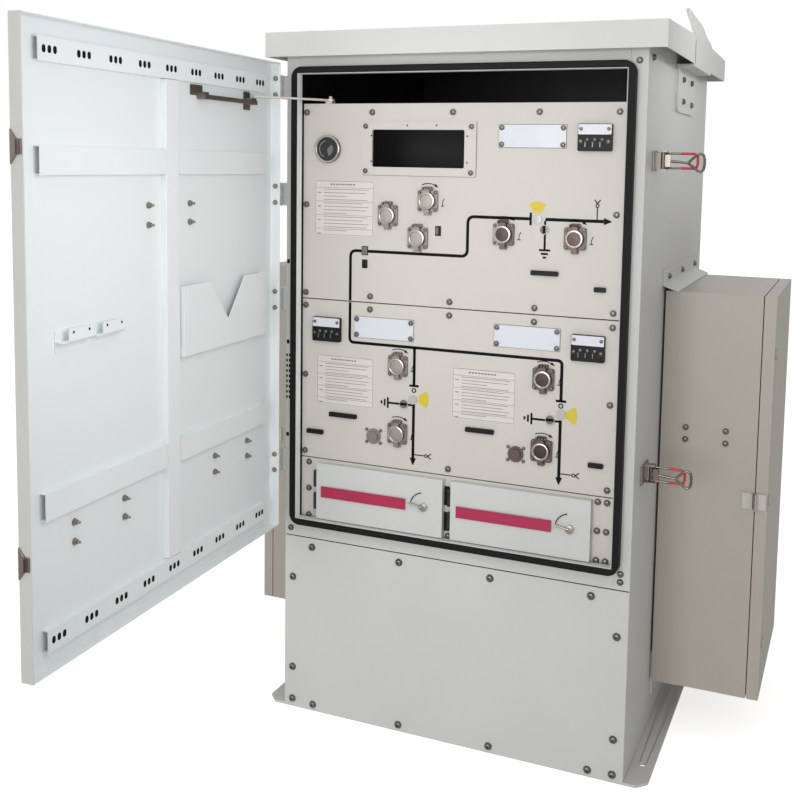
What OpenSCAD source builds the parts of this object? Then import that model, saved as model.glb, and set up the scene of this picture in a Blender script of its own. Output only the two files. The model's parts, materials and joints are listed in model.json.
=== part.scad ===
// Outdoor ring main unit: a free-standing medium-voltage switchgear kiosk.
// Sheet-steel cabinet with a hinged front door, a bolted plinth, a cap roof,
// a switchgear tank behind mimic panels and a cable box hung on each side.
// Frame: +Z up, the front faces -Y, the origin lies on the ground at the
// centre of the four anchor holes. Lengths are in millimetres.

/* [Cabinet] */
// Width of the cabinet body
body_w = 800; // [780:5:880]
// Depth of the cabinet body
body_d = 770; // [740:5:860]
// Height of the plinth, up to the seam under the door frame
plinth_h = 411; // [390:1:440]
// Height of the door frame, from the plinth to the lower edge of the roof skirt
frame_h = 1085; // [1080:1:1140]
// Thickness of the wall sheets
wall_t = 3; // [2:0.5:4]
// Slot between the plinth panels and the frame above them
seam_gap = 2; // [1:0.5:4]

/* [Foot flanges] */
// How far each foot flange stands out from the side wall
foot_w = 48; // [44:1:70]
// Thickness of the foot flanges
foot_t = 6; // [4:0.5:10]
// Diameter of the anchor holes
anchor_d = 14; // [10:0.5:18]
// Distance between the anchor holes from front to back
anchor_pitch = 600; // [500:10:640]
// Chamfer on the outer corners of the flanges
foot_chamfer = 22; // [10:1:30]

/* [Roof] */
// Height of the roof skirt
roof_h = 53; // [45:1:80]
// Roof overhang at the sides
roof_side = 40; // [36:1:60]
// Roof overhang at the front and the back
roof_front = 28; // [20:1:50]
// Rise of the roof ridge above its edge, for the rain to run off
roof_rise = 10; // [4:1:14]
// Thickness of the roof sheet
roof_t = 3; // [2:0.5:4]

/* [Lifting lug] */
// Length of the lug along the side wall
lug_w = 240; // [200:5:280]
// Distance from the cabinet's front to the middle of the lug
lug_y = 426; // [380:2:460]
// Thickness of the lug plate
lug_t = 6; // [5:0.5:10]
// How far the lug plate reaches down the wall below the eave
lug_drop = 103; // [80:1:130]
// Corner radius of the lug plate
lug_r = 14; // [8:1:24]
// Height of the tongue above the roof edge
tongue_h = 60; // [50:1:90]
// How far the tongue leans in over the roof
tongue_lean = 21; // [15:1:50]

/* [Door frame] */
// Width of the frame posts seen from the front
post_w = 35; // [30:1:45]
// Height of the top beam below the eave
beam_top = 35; // [30:1:50]
// Height of the bottom beam above the plinth
beam_bottom = 49; // [44:1:60]
// How far the sealing lip stands forward of the frame
lip_out = 18; // [12:1:22]
// Thickness of the sealing lip
lip_t = 2; // [1.5:0.5:3]
// Width of the door gasket
gasket_w = 14; // [10:1:16]
// How far the gasket stands forward of the frame
gasket_out = 20; // [14:1:22]
// Outer corner radius of the gasket
gasket_r = 24; // [18:1:30]

/* [Front door] */
// How far the closed door overlaps the cabinet at each side
door_lap = 6; // [4:1:10]
// Depth of the door tray
door_t = 24; // [22:1:30]
// Thickness of the door sheet
door_skin = 2; // [1.5:0.5:3]
// Gap between the closed door and the frame
door_gap = 5; // [5:0.5:8]
// Gap between the door's top edge and the eave
door_top_gap = 12; // [8:1:20]
// Height of the door's lower edge above the plinth
door_bottom = 27; // [20:1:32]
// Angle at which the door stands open
door_open = 87.4; // [80:0.2:95]
// Diameter of the hinge knuckles
hinge_d = 12; // [10:0.5:14]
// How far the fixed hinge leaves reach along the side wall
leaf_w = 34; // [24:1:44]
// Height of one door hinge
hinge_h = 50; // [36:1:70]
// Width of the door's perforated rails
rail_h = 38; // [30:1:40]
// Depth of the door's rails and stiffeners
rail_t = 12; // [8:1:16]
// Width of the door's centre stile
stile_w = 42; // [36:1:60]

/* [Door fittings] */
// Sheet thickness of the rails, stiffeners and brackets
fold_t = 2; // [1.5:0.5:3]
// Number of slot groups along a rail
slot_groups = 9; // [5:1:12]
// Width of a slot
slot_w = 6.5; // [5:0.5:8]
// Height of a slot
slot_h = 13; // [10:0.5:18]
// Distance between the slots of a group
slot_pitch = 13; // [10:0.5:18]
// Width of the cross bars
hat_h = 46; // [36:1:56]
// Height of the upper cross bars below the door's top edge
hat_high = 244; // [200:1:280]
// Height of the lower cross bars above the door's lower edge
hat_low = 248; // [200:1:280]
// Distance from the door's hinged edge to the document pocket
pocket_in = 55; // [50:1:70]
// Height of the document pocket above the door's lower edge
pocket_up = 452; // [400:1:500]
// Height of the document pocket
pocket_h = 137; // [110:1:160]
// Depth of the document pocket and the handle brackets
pocket_t = 18; // [16:0.5:20]
// Half width of the notch in the pocket's upper edge
notch_w = 66; // [50:1:80]
// Depth of the notch in the pocket's upper edge
notch_h = 83; // [60:1:90]
// Distance from the door's free edge to the outer handle bracket
handle_in = 88; // [70:1:110]
// Width of a handle bracket
handle_w = 76; // [60:1:78]
// Distance between the handle brackets
handle_pitch = 87; // [80:1:100]
// Height of the handle brackets above the door's lower edge
handle_up = 513; // [480:1:540]
// Height of a handle bracket
handle_h = 45; // [40:1:55]

/* [Door stay] */
// Length of the stay rod between its pivot and its free end
stay_len = 181; // [170:1:190]
// Diameter of the stay rod
stay_d = 5; // [4:0.5:7]
// Distance of the stay's pivot from the hinge side of the cabinet
stay_in = 98; // [90:1:110]
// Distance of the stay's pivot behind the upper panel
stay_back = 9; // [8:0.5:12]
// Height of the stay rod above the top of the upper panel
stay_rise = 8; // [7:1:12]

/* [Switchgear] */
// Height of the switchgear's base above the plinth
tank_rise = 45; // [40:1:52]
// Clearance between the switchgear tank and the back wall
tank_clear = 66; // [40:1:120]
// Set-back of the panels behind the door frame
panel_set = 8; // [6:0.5:14]
// Thickness of the front panels
panel_t = 3; // [2:0.5:4]
// How far the front panels run behind the frame at each side
panel_lap = 1; // [0.5:0.5:3]
// Height of the test compartment's base panel
test_h = 142; // [138:1:150]
// Height of the lower mimic panel
lower_h = 362; // [356:1:370]
// Height of the upper mimic panel
upper_h = 432; // [426:1:438]
// Depth of the instrument space behind the upper panel's window
instrument_d = 160; // [120:5:220]
// Height of the instrument space
instrument_h = 170; // [160:1:180]

/* [Test covers] */
// Width of the hinge strip beside a test cover
cover_edge = 50; // [44:1:56]
// Gap between the two test covers
cover_mid = 19; // [18:1:24]
// Height of a test cover
cover_h = 128; // [118:1:130]
// Depth of a test cover
cover_t = 14; // [10:1:16]
// Depth of the test compartment behind a cover
pocket_d = 60; // [40:1:80]
// Diameter of the test bushings
bushing_d = 44; // [30:1:50]

/* [Panel fittings] */
// Size of the square socket flange
socket_w = 46; // [40:1:50]
// Diameter of the hinged socket cap
cap_d = 36; // [30:1:40]
// Diameter of the phase plugs
plug_d = 34; // [28:1:38]
// How far the phase plugs stand out
plug_t = 7; // [5:0.5:9]
// Diameter of the gas pressure gauge
gauge_d = 60; // [50:1:66]
// Length of the blank name plates
plate_w = 142; // [130:1:150]
// Height of the blank name plates
plate_h = 46; // [40:1:50]
// Width of the voltage indicators
vi_w = 69; // [60:1:74]
// Height of the voltage indicators
vi_h = 54; // [48:1:58]
// Width of the viewing window
window_w = 213; // [190:1:220]
// Height of the viewing window
window_h = 80; // [70:1:84]
// Width of the frame around the viewing window
window_rim = 26; // [20:1:28]

/* [Side boxes] */
// How far the body of a side box stands out
box_out = 206; // [180:2:230]
// Width of a side box from front to back
box_w = 418; // [390:2:430]
// Height of a side box
box_h = 891; // [860:1:920]
// Height of a side box above the ground
box_z = 110; // [90:1:130]
// Distance from the cabinet's front to a side box
box_set = 258; // [250:1:280]
// How much further back the left side box hangs
left_shift = 40; // [0:2:60]
// Gap between a side box and the cabinet wall
box_gap = 5; // [4:0.5:8]
// Depth of a side box door
box_door_t = 25; // [20:1:30]
// Sheet thickness of the side boxes
box_t = 2; // [1.5:0.5:3]
// Seam between a side box and its door
box_seam = 2; // [1:0.5:3]
// Height of the padlock tabs above the underside of a side box
hasp_up = 428; // [400:1:460]
// Height of a padlock tab
hasp_h = 36; // [24:1:50]
// Thickness of a padlock tab
hasp_t = 3; // [2:0.5:5]

/* [Latches] */
// Length of a latch lever
lever_len = 86; // [80:1:95]
// How far the red arms of a lever reach from its pivot
arm_len = 71; // [64:1:76]
// Distance of a latch's pivot from the wall
latch_out = 16; // [14:1:20]
// Distance of a latch's pivot from the cabinet's front
latch_in = 100; // [80:1:120]
// Height of the upper latch above the plinth
latch_high = 872; // [850:1:890]
// Height of the lower latch above the plinth
latch_low = 223; // [200:1:250]

/* [Hidden] */
$fn = 48;
eps = 0.01;
// Clearance between the knuckles of a hinge
knuckle_gap = 0.3;
// Clearance between the thing that turns and what it turns beside
run_gap = 1;
// Clearance round a door's inner fittings as it swings shut
swing_gap = 5;

eave_z = plinth_h + frame_h;
half_w = body_w / 2;
front_y = -body_d / 2;
back_y = body_d / 2;
roof_top = eave_z + roof_h;
wall_top = roof_top - roof_t;

// Opening of the door frame
open_x = half_w - post_w;
open_z0 = plinth_h + beam_bottom;
open_z1 = eave_z - beam_top;

// Front door, drawn closed and then turned open about its pin
door_w = body_w + 2 * door_lap;
door_x0 = -half_w - door_lap;
door_z0 = plinth_h + door_bottom;
door_z1 = eave_z - door_top_gap;
rim_y = front_y - door_gap;
skin_y = rim_y - door_t;
floor_y = skin_y + door_skin;
pin_x = door_x0 - hinge_d / 2 - run_gap;
pin_y = rim_y - hinge_d / 2;
hinge_zs = [for (up = [176, 548, 784, 1021]) plinth_h + up];

// Switchgear
tank_z = plinth_h + tank_rise;
panel_w = 2 * (open_x + panel_lap);
panel_y = front_y + panel_set;
tank_y = panel_y + panel_t;
panel_joint = 2;
lower_z = tank_z + test_h + panel_joint;
upper_z = lower_z + lower_h + panel_joint;
upper_top = upper_z + upper_h;
tank_inset = 10;
tank_w = panel_w - 2 * tank_inset;
tank_y1 = back_y - wall_t - tank_clear;
tank_top = upper_top - 16;
shelf_z = upper_top - instrument_h;

// Places on the panels: distance from the middle on a panel of the standard
// width, height above the panel's lower edge
panel_ref = 732;
function spot(x, z) = [x * panel_w / panel_ref, z];
window_at = spot(-86, 336);
gauge_at = spot(-299, 333);
upper_sockets = [spot(-153, 192), spot(-60, 226), spot(-82, 146), spot(111, 162),
    spot(263, 159)];
lower_sockets = [spot(-124, 229), spot(-123, 79), spot(205, 231), spot(205, 80)];
upper_plate = spot(167, 364);
lower_plates = [spot(-160, 308), spot(166, 314)];
upper_vi = spot(298, 362);
lower_vis = [spot(-298, 297), spot(297, 303)];
lower_plugs = [spot(-181, 66), spot(149, 66)];
upper_dials = [spot(182, 196), spot(198, 175)];
lower_dials = [spot(-88, 157), spot(-109, 143), spot(244, 161), spot(221, 144)];
upper_tabs = [spot(201, 86), spot(317, 59)];
upper_tab_ws = [58, 24];
lower_tabs = [spot(-257, 105), spot(-327, 61), spot(68, 107), spot(320, 63)];
lower_tab_ws = [68, 41, 64, 31];
cover_w = (panel_w - 2 * cover_edge - cover_mid) / 2;
cover_xs = [cover_edge - panel_w / 2, cover_edge - panel_w / 2 + cover_w + cover_mid];
cover_up = 8;
cover_gap = 1;
cover_y = panel_y - cover_gap;
cover_pin = 5;

// Door stay, a rod that pivots on the upper panel and runs in a door channel
stay_pin = [stay_in - half_w, tank_y + stay_back];
stay_z = upper_top + stay_rise;
stay_turn = 126.7;
channel_s = [99, 350];
channel_h = 22;

// Side boxes
box_x0 = half_w + box_gap;
box_x1 = box_x0 + box_out;
box_y0 = front_y + box_set;
box_y1 = box_y0 + box_w;
box_z1 = box_z + box_h;
box_pin = [box_x1 + box_door_t / 2, box_y1 + hinge_d / 2 + run_gap];

cabinet_grey = [0.80, 0.81, 0.79];
door_white = [0.84, 0.86, 0.86];
panel_beige = [0.80, 0.78, 0.74];
box_grey = [0.70, 0.68, 0.65];
rubber_black = [0.05, 0.05, 0.05];
steel = [0.62, 0.60, 0.57];

// A block between two corners
module block(a, b) {
    translate(a)
        cube(b - a);
}

// An upright cylinder standing at a point
module post(at, d, h) {
    translate(at)
        cylinder(d = d, h = h);
}

// A cylinder that stands out of a panel towards the front
module stud(at, d, h) {
    translate(at)
        rotate([90, 0, 0])
            cylinder(d = d, h = h);
}

// A plate on a panel's face with rounded corners, centred on [x, z]
module face_plate(at, w, h, t, r, y) {
    translate([at[0], y, at[1]])
        rotate([90, 0, 0])
            linear_extrude(t)
                rounded(w, h, r);
}

// A rectangle with round corners, made of two bars and four discs
module rounded(w, h, r) {
    square([w - 2 * r, h], center = true);
    square([w, h - 2 * r], center = true);
    for (x = [-1, 1], z = [-1, 1])
        translate([x * (w / 2 - r), z * (h / 2 - r)])
            circle(r);
}

// Turns what is drawn on the closed door to the angle at which it stands open
module door_pose() {
    translate([pin_x, pin_y, 0])
        rotate([0, 0, -door_open])
            translate([-pin_x, -pin_y, 0])
                children();
}

// Copies a part of the right side box to the left
module left_side() {
    mirror([1, 0, 0])
        children();
}

// Cabinet walls

module side_wall() {
    block([half_w - wall_t, front_y + wall_t, 0], [half_w, back_y, wall_top]);
}

module left_wall() {
    color(cabinet_grey)
        left_side()
            side_wall();
}

module right_wall() {
    color(cabinet_grey)
        side_wall();
}

module back_wall() {
    color(cabinet_grey)
        block([wall_t - half_w, back_y - wall_t, plinth_h + seam_gap],
            [half_w - wall_t, back_y, wall_top]);
}

module plinth_front_panel() {
    color(cabinet_grey)
        block([-half_w, front_y, 0], [half_w, front_y + wall_t, plinth_h]);
}

module plinth_back_panel() {
    color(cabinet_grey)
        block([wall_t - half_w, back_y - wall_t, 0],
            [half_w - wall_t, back_y, plinth_h]);
}

module foot_flange() {
    difference() {
        linear_extrude(foot_t)
            polygon([[half_w, front_y], [half_w + foot_w - foot_chamfer, front_y],
                [half_w + foot_w, front_y + foot_chamfer],
                [half_w + foot_w, back_y - foot_chamfer],
                [half_w + foot_w - foot_chamfer, back_y], [half_w, back_y]]);
        for (y = [-1, 1])
            post([half_w + foot_w / 2, y * anchor_pitch / 2, -eps], anchor_d,
                foot_t + 2 * eps);
    }
}

module left_foot_flange() {
    color(cabinet_grey)
        left_side()
            foot_flange();
}

module right_foot_flange() {
    color(cabinet_grey)
        foot_flange();
}

// Door frame with its forward sealing lip

module frame_post() {
    block([open_x, front_y, plinth_h + seam_gap],
        [half_w, front_y + wall_t, wall_top]);
    block([open_x - lip_t, front_y - lip_out, open_z0],
        [open_x, front_y + wall_t, open_z1]);
}

module left_post() {
    color(cabinet_grey)
        left_side()
            frame_post();
}

module right_post() {
    color(cabinet_grey)
        frame_post();
}

module top_beam() {
    color(cabinet_grey) {
        block([-open_x, front_y, open_z1], [open_x, front_y + wall_t, wall_top]);
        block([lip_t - open_x, front_y - lip_out, open_z1 - lip_t],
            [open_x - lip_t, front_y + wall_t, open_z1]);
    }
}

module bottom_beam() {
    color(cabinet_grey) {
        block([-open_x, front_y, plinth_h + seam_gap],
            [open_x, front_y + wall_t, open_z0]);
        block([lip_t - open_x, front_y - lip_out, open_z0],
            [open_x - lip_t, front_y + wall_t, open_z0 + lip_t]);
    }
}

module door_gasket() {
    mid_z = (open_z0 + open_z1) / 2;
    color(rubber_black)
        difference() {
            face_plate([0, mid_z], 2 * (open_x + gasket_w),
                open_z1 - open_z0 + 2 * gasket_w, gasket_out, gasket_r, front_y);
            block([-open_x, front_y - 2 * gasket_out, open_z0],
                [open_x, front_y + gasket_out, open_z1]);
        }
}

// Roof: a shallow cap with a skirt and a low ridge from side to side

module roof() {
    x = half_w + roof_side;
    y = body_d / 2 + roof_front;
    lug_x = half_w + roof_side - lug_t - run_gap;
    color(cabinet_grey)
        difference() {
            union() {
                for (side = [-1, 1])
                    translate([side * (x - roof_t / 2), 0, eave_z + roof_h / 2])
                        cube([roof_t, 2 * y, roof_h], center = true);
                for (end = [-1, 1])
                    translate([0, end * (y - roof_t / 2), eave_z + roof_h / 2])
                        cube([2 * x, roof_t, roof_h], center = true);
                translate([-x, 0, roof_top - roof_t])
                    rotate([90, 0, 90])
                        linear_extrude(2 * x)
                            polygon([[-y, 0], [y, 0], [y, roof_t],
                                [0, roof_t + roof_rise], [-y, roof_t]]);
            }
            block([lug_x, front_y + lug_y - lug_w / 2 - run_gap, eave_z - eps],
                [x + eps, front_y + lug_y + lug_w / 2 + run_gap,
                    roof_top + roof_rise]);
        }
}

// Number of straight steps in a round corner of the lug
lug_arc = 6;

// Lifting lug: bolted to the right wall, cranked round the eave and run up
// into a tongue, higher in front, that leans in over the roof

// Points of an arc about a centre, between two angles
function arc(centre, r, start, end) = [for (i = [0:lug_arc])
    let (turn = start + (end - start) * i / lug_arc)
        centre + r * [cos(turn), sin(turn)]];

module lug_tongue() {
    base = lug_w / 2 - 2;
    bend = lug_w / 12;
    slope = sqrt(pow(tongue_h, 2) + pow(tongue_lean, 2));
    front = [bend - base, slope - bend];
    rear = [base * 0.62 - bend, slope * 0.7 - bend];
    top = 90 - atan2(front[1] - rear[1], rear[0] - front[0]);
    linear_extrude(lug_t)
        polygon(concat([[-base, 0], [base, 0], [base, slope * 0.1],
                [rear[0] + bend, slope * 0.3]],
            arc(rear, bend, 0, top), arc(front, bend, top, 180)));
}

module lifting_lug() {
    x1 = half_w + roof_side;
    y0 = front_y + lug_y - lug_w / 2;
    y1 = y0 + lug_w;
    color(cabinet_grey) {
        translate([half_w, front_y + lug_y, eave_z - lug_drop / 2])
            rotate([90, 0, 90])
                linear_extrude(lug_t)
                    rounded(lug_w, lug_drop, lug_r);
        block([half_w, y0, eave_z - lug_t], [x1, y1, eave_z]);
        block([x1 - lug_t, y0, eave_z - lug_t], [x1, y1, roof_top + roof_rise]);
        translate([x1 - lug_t, front_y + lug_y, roof_top + roof_rise - 2])
            rotate([0, -atan2(tongue_lean, tongue_h), 0])
                rotate([90, 0, 90])
                    lug_tongue();
    }
}

// Switchgear tank with two test pockets and an instrument space

module switchgear_tank() {
    color(panel_beige)
        difference() {
            union() {
                block([-tank_w / 2, tank_y, tank_z], [tank_w / 2, tank_y1, shelf_z]);
                block([-tank_w / 2, tank_y + instrument_d, shelf_z - eps],
                    [tank_w / 2, tank_y1, tank_top]);
            }
            for (x = cover_xs)
                pocket(x, tank_y - eps, tank_y + pocket_d);
        }
}

// The hollow behind a test cover
module pocket(x, y0, y1) {
    edge = 14;
    block([x + edge, y0, tank_z + cover_up + edge],
        [x + cover_w - edge, y1, tank_z + cover_up + cover_h - edge]);
}

// Angle rails on the side walls that carry the tank
module tank_rail() {
    leg = 50;
    rail = 5;
    x1 = half_w - wall_t;
    y1 = back_y - wall_t;
    block([x1 - leg, tank_y, tank_z - rail], [x1, y1, tank_z]);
    block([x1 - rail, tank_y, tank_z - leg], [x1, y1, tank_z]);
}

module tank_rails() {
    color(cabinet_grey) {
        tank_rail();
        left_side()
            tank_rail();
    }
}

module upper_panel() {
    at = [window_at[0], upper_z + window_at[1]];
    color(panel_beige)
        difference() {
            block([-panel_w / 2, panel_y, upper_z], [panel_w / 2, tank_y, upper_top]);
            face_plate(at, window_w, window_h, 2 * panel_t, 4, tank_y + panel_t / 2);
        }
}

module lower_panel() {
    color(panel_beige)
        block([-panel_w / 2, panel_y, lower_z],
            [panel_w / 2, tank_y, lower_z + lower_h]);
}

// Base panel of the test compartment, with the fixed halves of the hinges
module test_panel() {
    color(panel_beige) {
        difference() {
            block([-panel_w / 2, panel_y, tank_z],
                [panel_w / 2, tank_y, tank_z + test_h]);
            for (x = cover_xs)
                pocket(x, panel_y - eps, tank_y + eps);
        }
        for (x = cover_xs)
            cover_hinges(x, true);
    }
}

// Two hinges of a test cover: fixed outer knuckles or the cover's inner ones
module cover_hinges(x, fixed) {
    knuckle = 12;
    pin = [x - cover_pin - run_gap / 2, cover_y - cover_t / 2];
    for (up = [cover_h * 0.3, cover_h * 0.7])
        if (fixed)
            for (side = [-1, 1])
                translate([0, 0, tank_z + cover_up + up
                        + side * (knuckle + knuckle_gap) - knuckle / 2]) {
                    post([pin[0], pin[1], 0], 2 * cover_pin, knuckle);
                    block([pin[0] - cover_pin, pin[1], 0],
                        [pin[0] + cover_pin, panel_y, knuckle]);
                }
        else
            translate([0, 0, tank_z + cover_up + up - knuckle / 2]) {
                post([pin[0], pin[1], 0], 2 * cover_pin, knuckle);
                block([pin[0], pin[1] - cover_pin / 2, 0],
                    [x + 2, pin[1] + cover_pin / 2, knuckle]);
            }
}

// A test cover: a shallow tray with a key lock near its free end
module test_cover(x) {
    sheet = 2;
    z0 = tank_z + cover_up;
    lock = [x + cover_w - 42, z0 + cover_h / 2];
    difference() {
        block([x, cover_y - cover_t, z0], [x + cover_w, cover_y, z0 + cover_h]);
        block([x + sheet, cover_y - cover_t + sheet, z0 + sheet],
            [x + cover_w - sheet, cover_y + eps, z0 + cover_h - sheet]);
    }
    stud([lock[0], cover_y - cover_t, lock[1]], 18, 3);
    cover_hinges(x, false);
}

module test_cover_left() {
    color(cabinet_grey)
        test_cover(cover_xs[0]);
}

module test_cover_right() {
    color(cabinet_grey)
        test_cover(cover_xs[1]);
}

// Three stepped test bushings in each pocket
module test_bushings() {
    pitch = cover_w / 3.4;
    color("dimgray")
        for (x = cover_xs, i = [-1, 0, 1])
            translate([x + cover_w / 2 + i * pitch, tank_y + pocket_d,
                    tank_z + cover_up + cover_h / 2])
                rotate([90, 0, 0]) {
                    cylinder(d = bushing_d, h = pocket_d * 0.3);
                    cylinder(d = bushing_d * 0.6, h = pocket_d * 0.65);
                }
}

// Fittings on the panels

module window_frame() {
    at = [window_at[0], upper_z + window_at[1]];
    sheet = 3;
    color(panel_beige)
        difference() {
            face_plate(at, window_w + 2 * window_rim,
                window_h + 1.35 * window_rim, sheet, 4, panel_y);
            face_plate(at, window_w, window_h, 2 * sheet, 4, panel_y + sheet / 2);
        }
}

module pressure_gauge() {
    at = [gauge_at[0], panel_y, upper_z + gauge_at[1]];
    color(steel)
        difference() {
            stud(at, gauge_d, 9);
            stud([at[0], at[1] - 6, at[2]], gauge_d - 9, 9);
        }
}

module name_plates() {
    color("white") {
        face_plate([upper_plate[0], upper_z + upper_plate[1]], plate_w, plate_h,
            2, 4, panel_y);
        for (at = lower_plates)
            face_plate([at[0], lower_z + at[1]], plate_w, plate_h, 2, 4, panel_y);
    }
}

module voltage_indicators() {
    color(rubber_black) {
        face_plate([upper_vi[0], upper_z + upper_vi[1]], vi_w, vi_h, 9, 3, panel_y);
        for (at = lower_vis)
            face_plate([at[0], lower_z + at[1]], vi_w, vi_h, 9, 3, panel_y);
    }
}

// All socket places as [x, z]
socket_places = concat([for (at = upper_sockets) [at[0], upper_z + at[1]]],
    [for (at = lower_sockets) [at[0], lower_z + at[1]]]);
socket_t = 5;

module socket_flanges() {
    ear_w = 20;
    color(steel)
        for (at = socket_places) {
            face_plate(at, socket_w, socket_w, socket_t, 5, panel_y);
            face_plate([at[0], at[1] + socket_w / 2], ear_w, 16, socket_t, 3,
                panel_y);
            face_plate([at[0], at[1] - socket_w / 2], ear_w - 4, 16, socket_t, 3,
                panel_y);
        }
}

// Round caps with a raised rim, hinged above and caught below
module socket_caps() {
    cap_t = 8;
    color(steel)
        for (at = socket_places) {
            difference() {
                stud([at[0], panel_y - socket_t, at[1]], cap_d, cap_t);
                stud([at[0], panel_y - socket_t - cap_t + 2, at[1]], cap_d - 8,
                    cap_t);
            }
        }
}

module phase_plugs() {
    color(steel)
        for (at = lower_plugs) {
            stud([at[0], panel_y, lower_z + at[1]], plug_d, plug_t / 2);
            stud([at[0], panel_y, lower_z + at[1]], plug_d * 2 / 3, plug_t);
        }
}

module interlock_tabs() {
    tab = [10, 6, 2];
    color(rubber_black) {
        for (i = [0:len(upper_tabs) - 1])
            face_plate([upper_tabs[i][0], upper_z + upper_tabs[i][1]],
                upper_tab_ws[i], tab[0], tab[1], tab[2], panel_y);
        for (i = [0:len(lower_tabs) - 1])
            face_plate([lower_tabs[i][0], lower_z + lower_tabs[i][1]],
                lower_tab_ws[i], tab[0], tab[1], tab[2], panel_y);
    }
}

module position_dials() {
    color("gainsboro") {
        for (at = upper_dials)
            stud([at[0], panel_y, upper_z + at[1]], 20, 3);
        for (at = lower_dials)
            stud([at[0], panel_y, lower_z + at[1]], 20, 3);
    }
}

// Front door hinges: the fixed leaves clip round the left wall's front edge

module door_hinge_leaves() {
    third = hinge_h / 3;
    color(cabinet_grey)
        for (z = hinge_zs) {
            for (side = [-1, 1])
                translate([0, 0, z + side * (third + knuckle_gap) - third / 2]) {
                    post([pin_x, pin_y, 0], hinge_d, third);
                    block([pin_x - hinge_d / 2, pin_y, 0],
                        [pin_x + hinge_d / 4, front_y + wall_t, third]);
                }
            block([pin_x - hinge_d / 2, front_y + wall_t, z - hinge_h / 2 - knuckle_gap],
                [-half_w, front_y + leaf_w, z + hinge_h / 2 + knuckle_gap]);
        }
}

module door_knuckles() {
    third = hinge_h / 3;
    color(cabinet_grey)
        door_pose()
            for (z = hinge_zs)
                translate([0, 0, z - third / 2]) {
                    post([pin_x, pin_y, 0], hinge_d, third);
                    block([pin_x, pin_y - hinge_d / 2, 0], [door_x0, pin_y, third]);
                }
}

// Front door

module front_door_panel() {
    color(door_white)
        door_pose()
            difference() {
                block([door_x0, skin_y, door_z0], [door_x0 + door_w, rim_y, door_z1]);
                block([door_x0 + door_skin, floor_y, door_z0 + door_skin],
                    [door_x0 + door_w - door_skin, rim_y + eps, door_z1 - door_skin]);
            }
}

// A folded channel on the door's inner face between two corners [s, z], open
// towards the door sheet
module door_channel(a, b) {
    upright = b[1] - a[1] > b[0] - a[0];
    side = upright ? [fold_t, 0] : [0, fold_t];
    end = upright ? [0, eps] : [eps, 0];
    difference() {
        door_bar(a, b, rail_t);
        door_bar(a + side - end, b - side + end, rail_t - fold_t);
    }
}

// A bar on the door's inner face between two corners [s, z]
module door_bar(a, b, t) {
    block([door_x0 + a[0], floor_y, a[1]], [door_x0 + b[0], floor_y + t, b[1]]);
}

// The rails run inside the sealing lip when the door is shut
rail_in = door_lap + post_w + lip_t + swing_gap;
rail_top_z = open_z1 - lip_t - swing_gap - rail_h;
rail_low_z = open_z0 + lip_t + swing_gap;
stile_s = (door_w - stile_w) / 2 - 3;
slot_end = 2 * slot_pitch;

// One upright slot with round ends, cut through a rail's face
module rail_slot(s, z) {
    straight = slot_h - slot_w;
    for (up = [-1, 1])
        stud([door_x0 + s, floor_y + rail_t + eps, z + up * straight / 2], slot_w,
            fold_t + 2 * eps);
    translate([door_x0 + s - slot_w / 2, floor_y + rail_t - fold_t - eps, z - straight / 2])
        cube([slot_w, fold_t + 2 * eps, straight]);
}

// Top and bottom rail, with slots in groups of three
module door_rails() {
    run = door_w - 2 * (rail_in + slot_end);
    color(door_white)
        door_pose()
            for (z = [rail_low_z, rail_top_z])
                difference() {
                    door_channel([rail_in, z], [door_w - rail_in, z + rail_h]);
                    for (i = [0:slot_groups - 1], k = [-1, 0, 1])
                        rail_slot(rail_in + slot_end + run * i / (slot_groups - 1)
                            + k * slot_pitch, z + rail_h / 2);
                }
}

// Centre stile and four cross bars that butt against it
module door_stiffeners() {
    joint = 1;
    color(door_white)
        door_pose() {
            door_channel([stile_s, rail_low_z + rail_h + joint],
                [stile_s + stile_w, rail_top_z - joint]);
            for (z = [door_z1 - hat_high, door_z0 + hat_low]) {
                door_channel([rail_in, z], [stile_s - joint, z + hat_h]);
                door_channel([stile_s + stile_w + joint, z],
                    [door_w - rail_in, z + hat_h]);
            }
        }
}

// Document pocket: a folded plate with a V notch in its upper edge
module document_pocket() {
    s1 = stile_s - swing_gap;
    z0 = door_z0 + pocket_up;
    z1 = z0 + pocket_h;
    mid = (pocket_in + s1) / 2 - fold_t;
    color(door_white)
        door_pose() {
            translate([door_x0, floor_y + pocket_t, 0])
                rotate([90, 0, 0])
                    linear_extrude(fold_t)
                        polygon([[pocket_in, z0], [s1, z0], [s1, z1],
                            [mid + notch_w, z1], [mid, z1 - notch_h],
                            [mid - notch_w, z1], [pocket_in, z1]]);
            door_bar([pocket_in, z0], [s1, z0 + fold_t], pocket_t);
            for (s = [pocket_in, s1 - fold_t])
                door_bar([s, z0], [s + fold_t, z1], pocket_t);
        }
}

// Two J-shaped brackets that hold the operating handle
module handle_brackets() {
    cup = handle_h * 2 / 3;
    inner = pocket_t - fold_t;
    color(door_white)
        door_pose()
            for (i = [0, 1])
                translate([door_x0 + door_w - handle_in - handle_w - i * handle_pitch,
                        floor_y, door_z0 + handle_up])
                    rotate([90, 0, 90])
                        linear_extrude(handle_w)
                            polygon([[0, 0], [pocket_t, 0], [pocket_t, cup],
                                [inner, cup], [inner, fold_t], [fold_t, fold_t],
                                [fold_t, handle_h], [0, handle_h]]);
}

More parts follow.
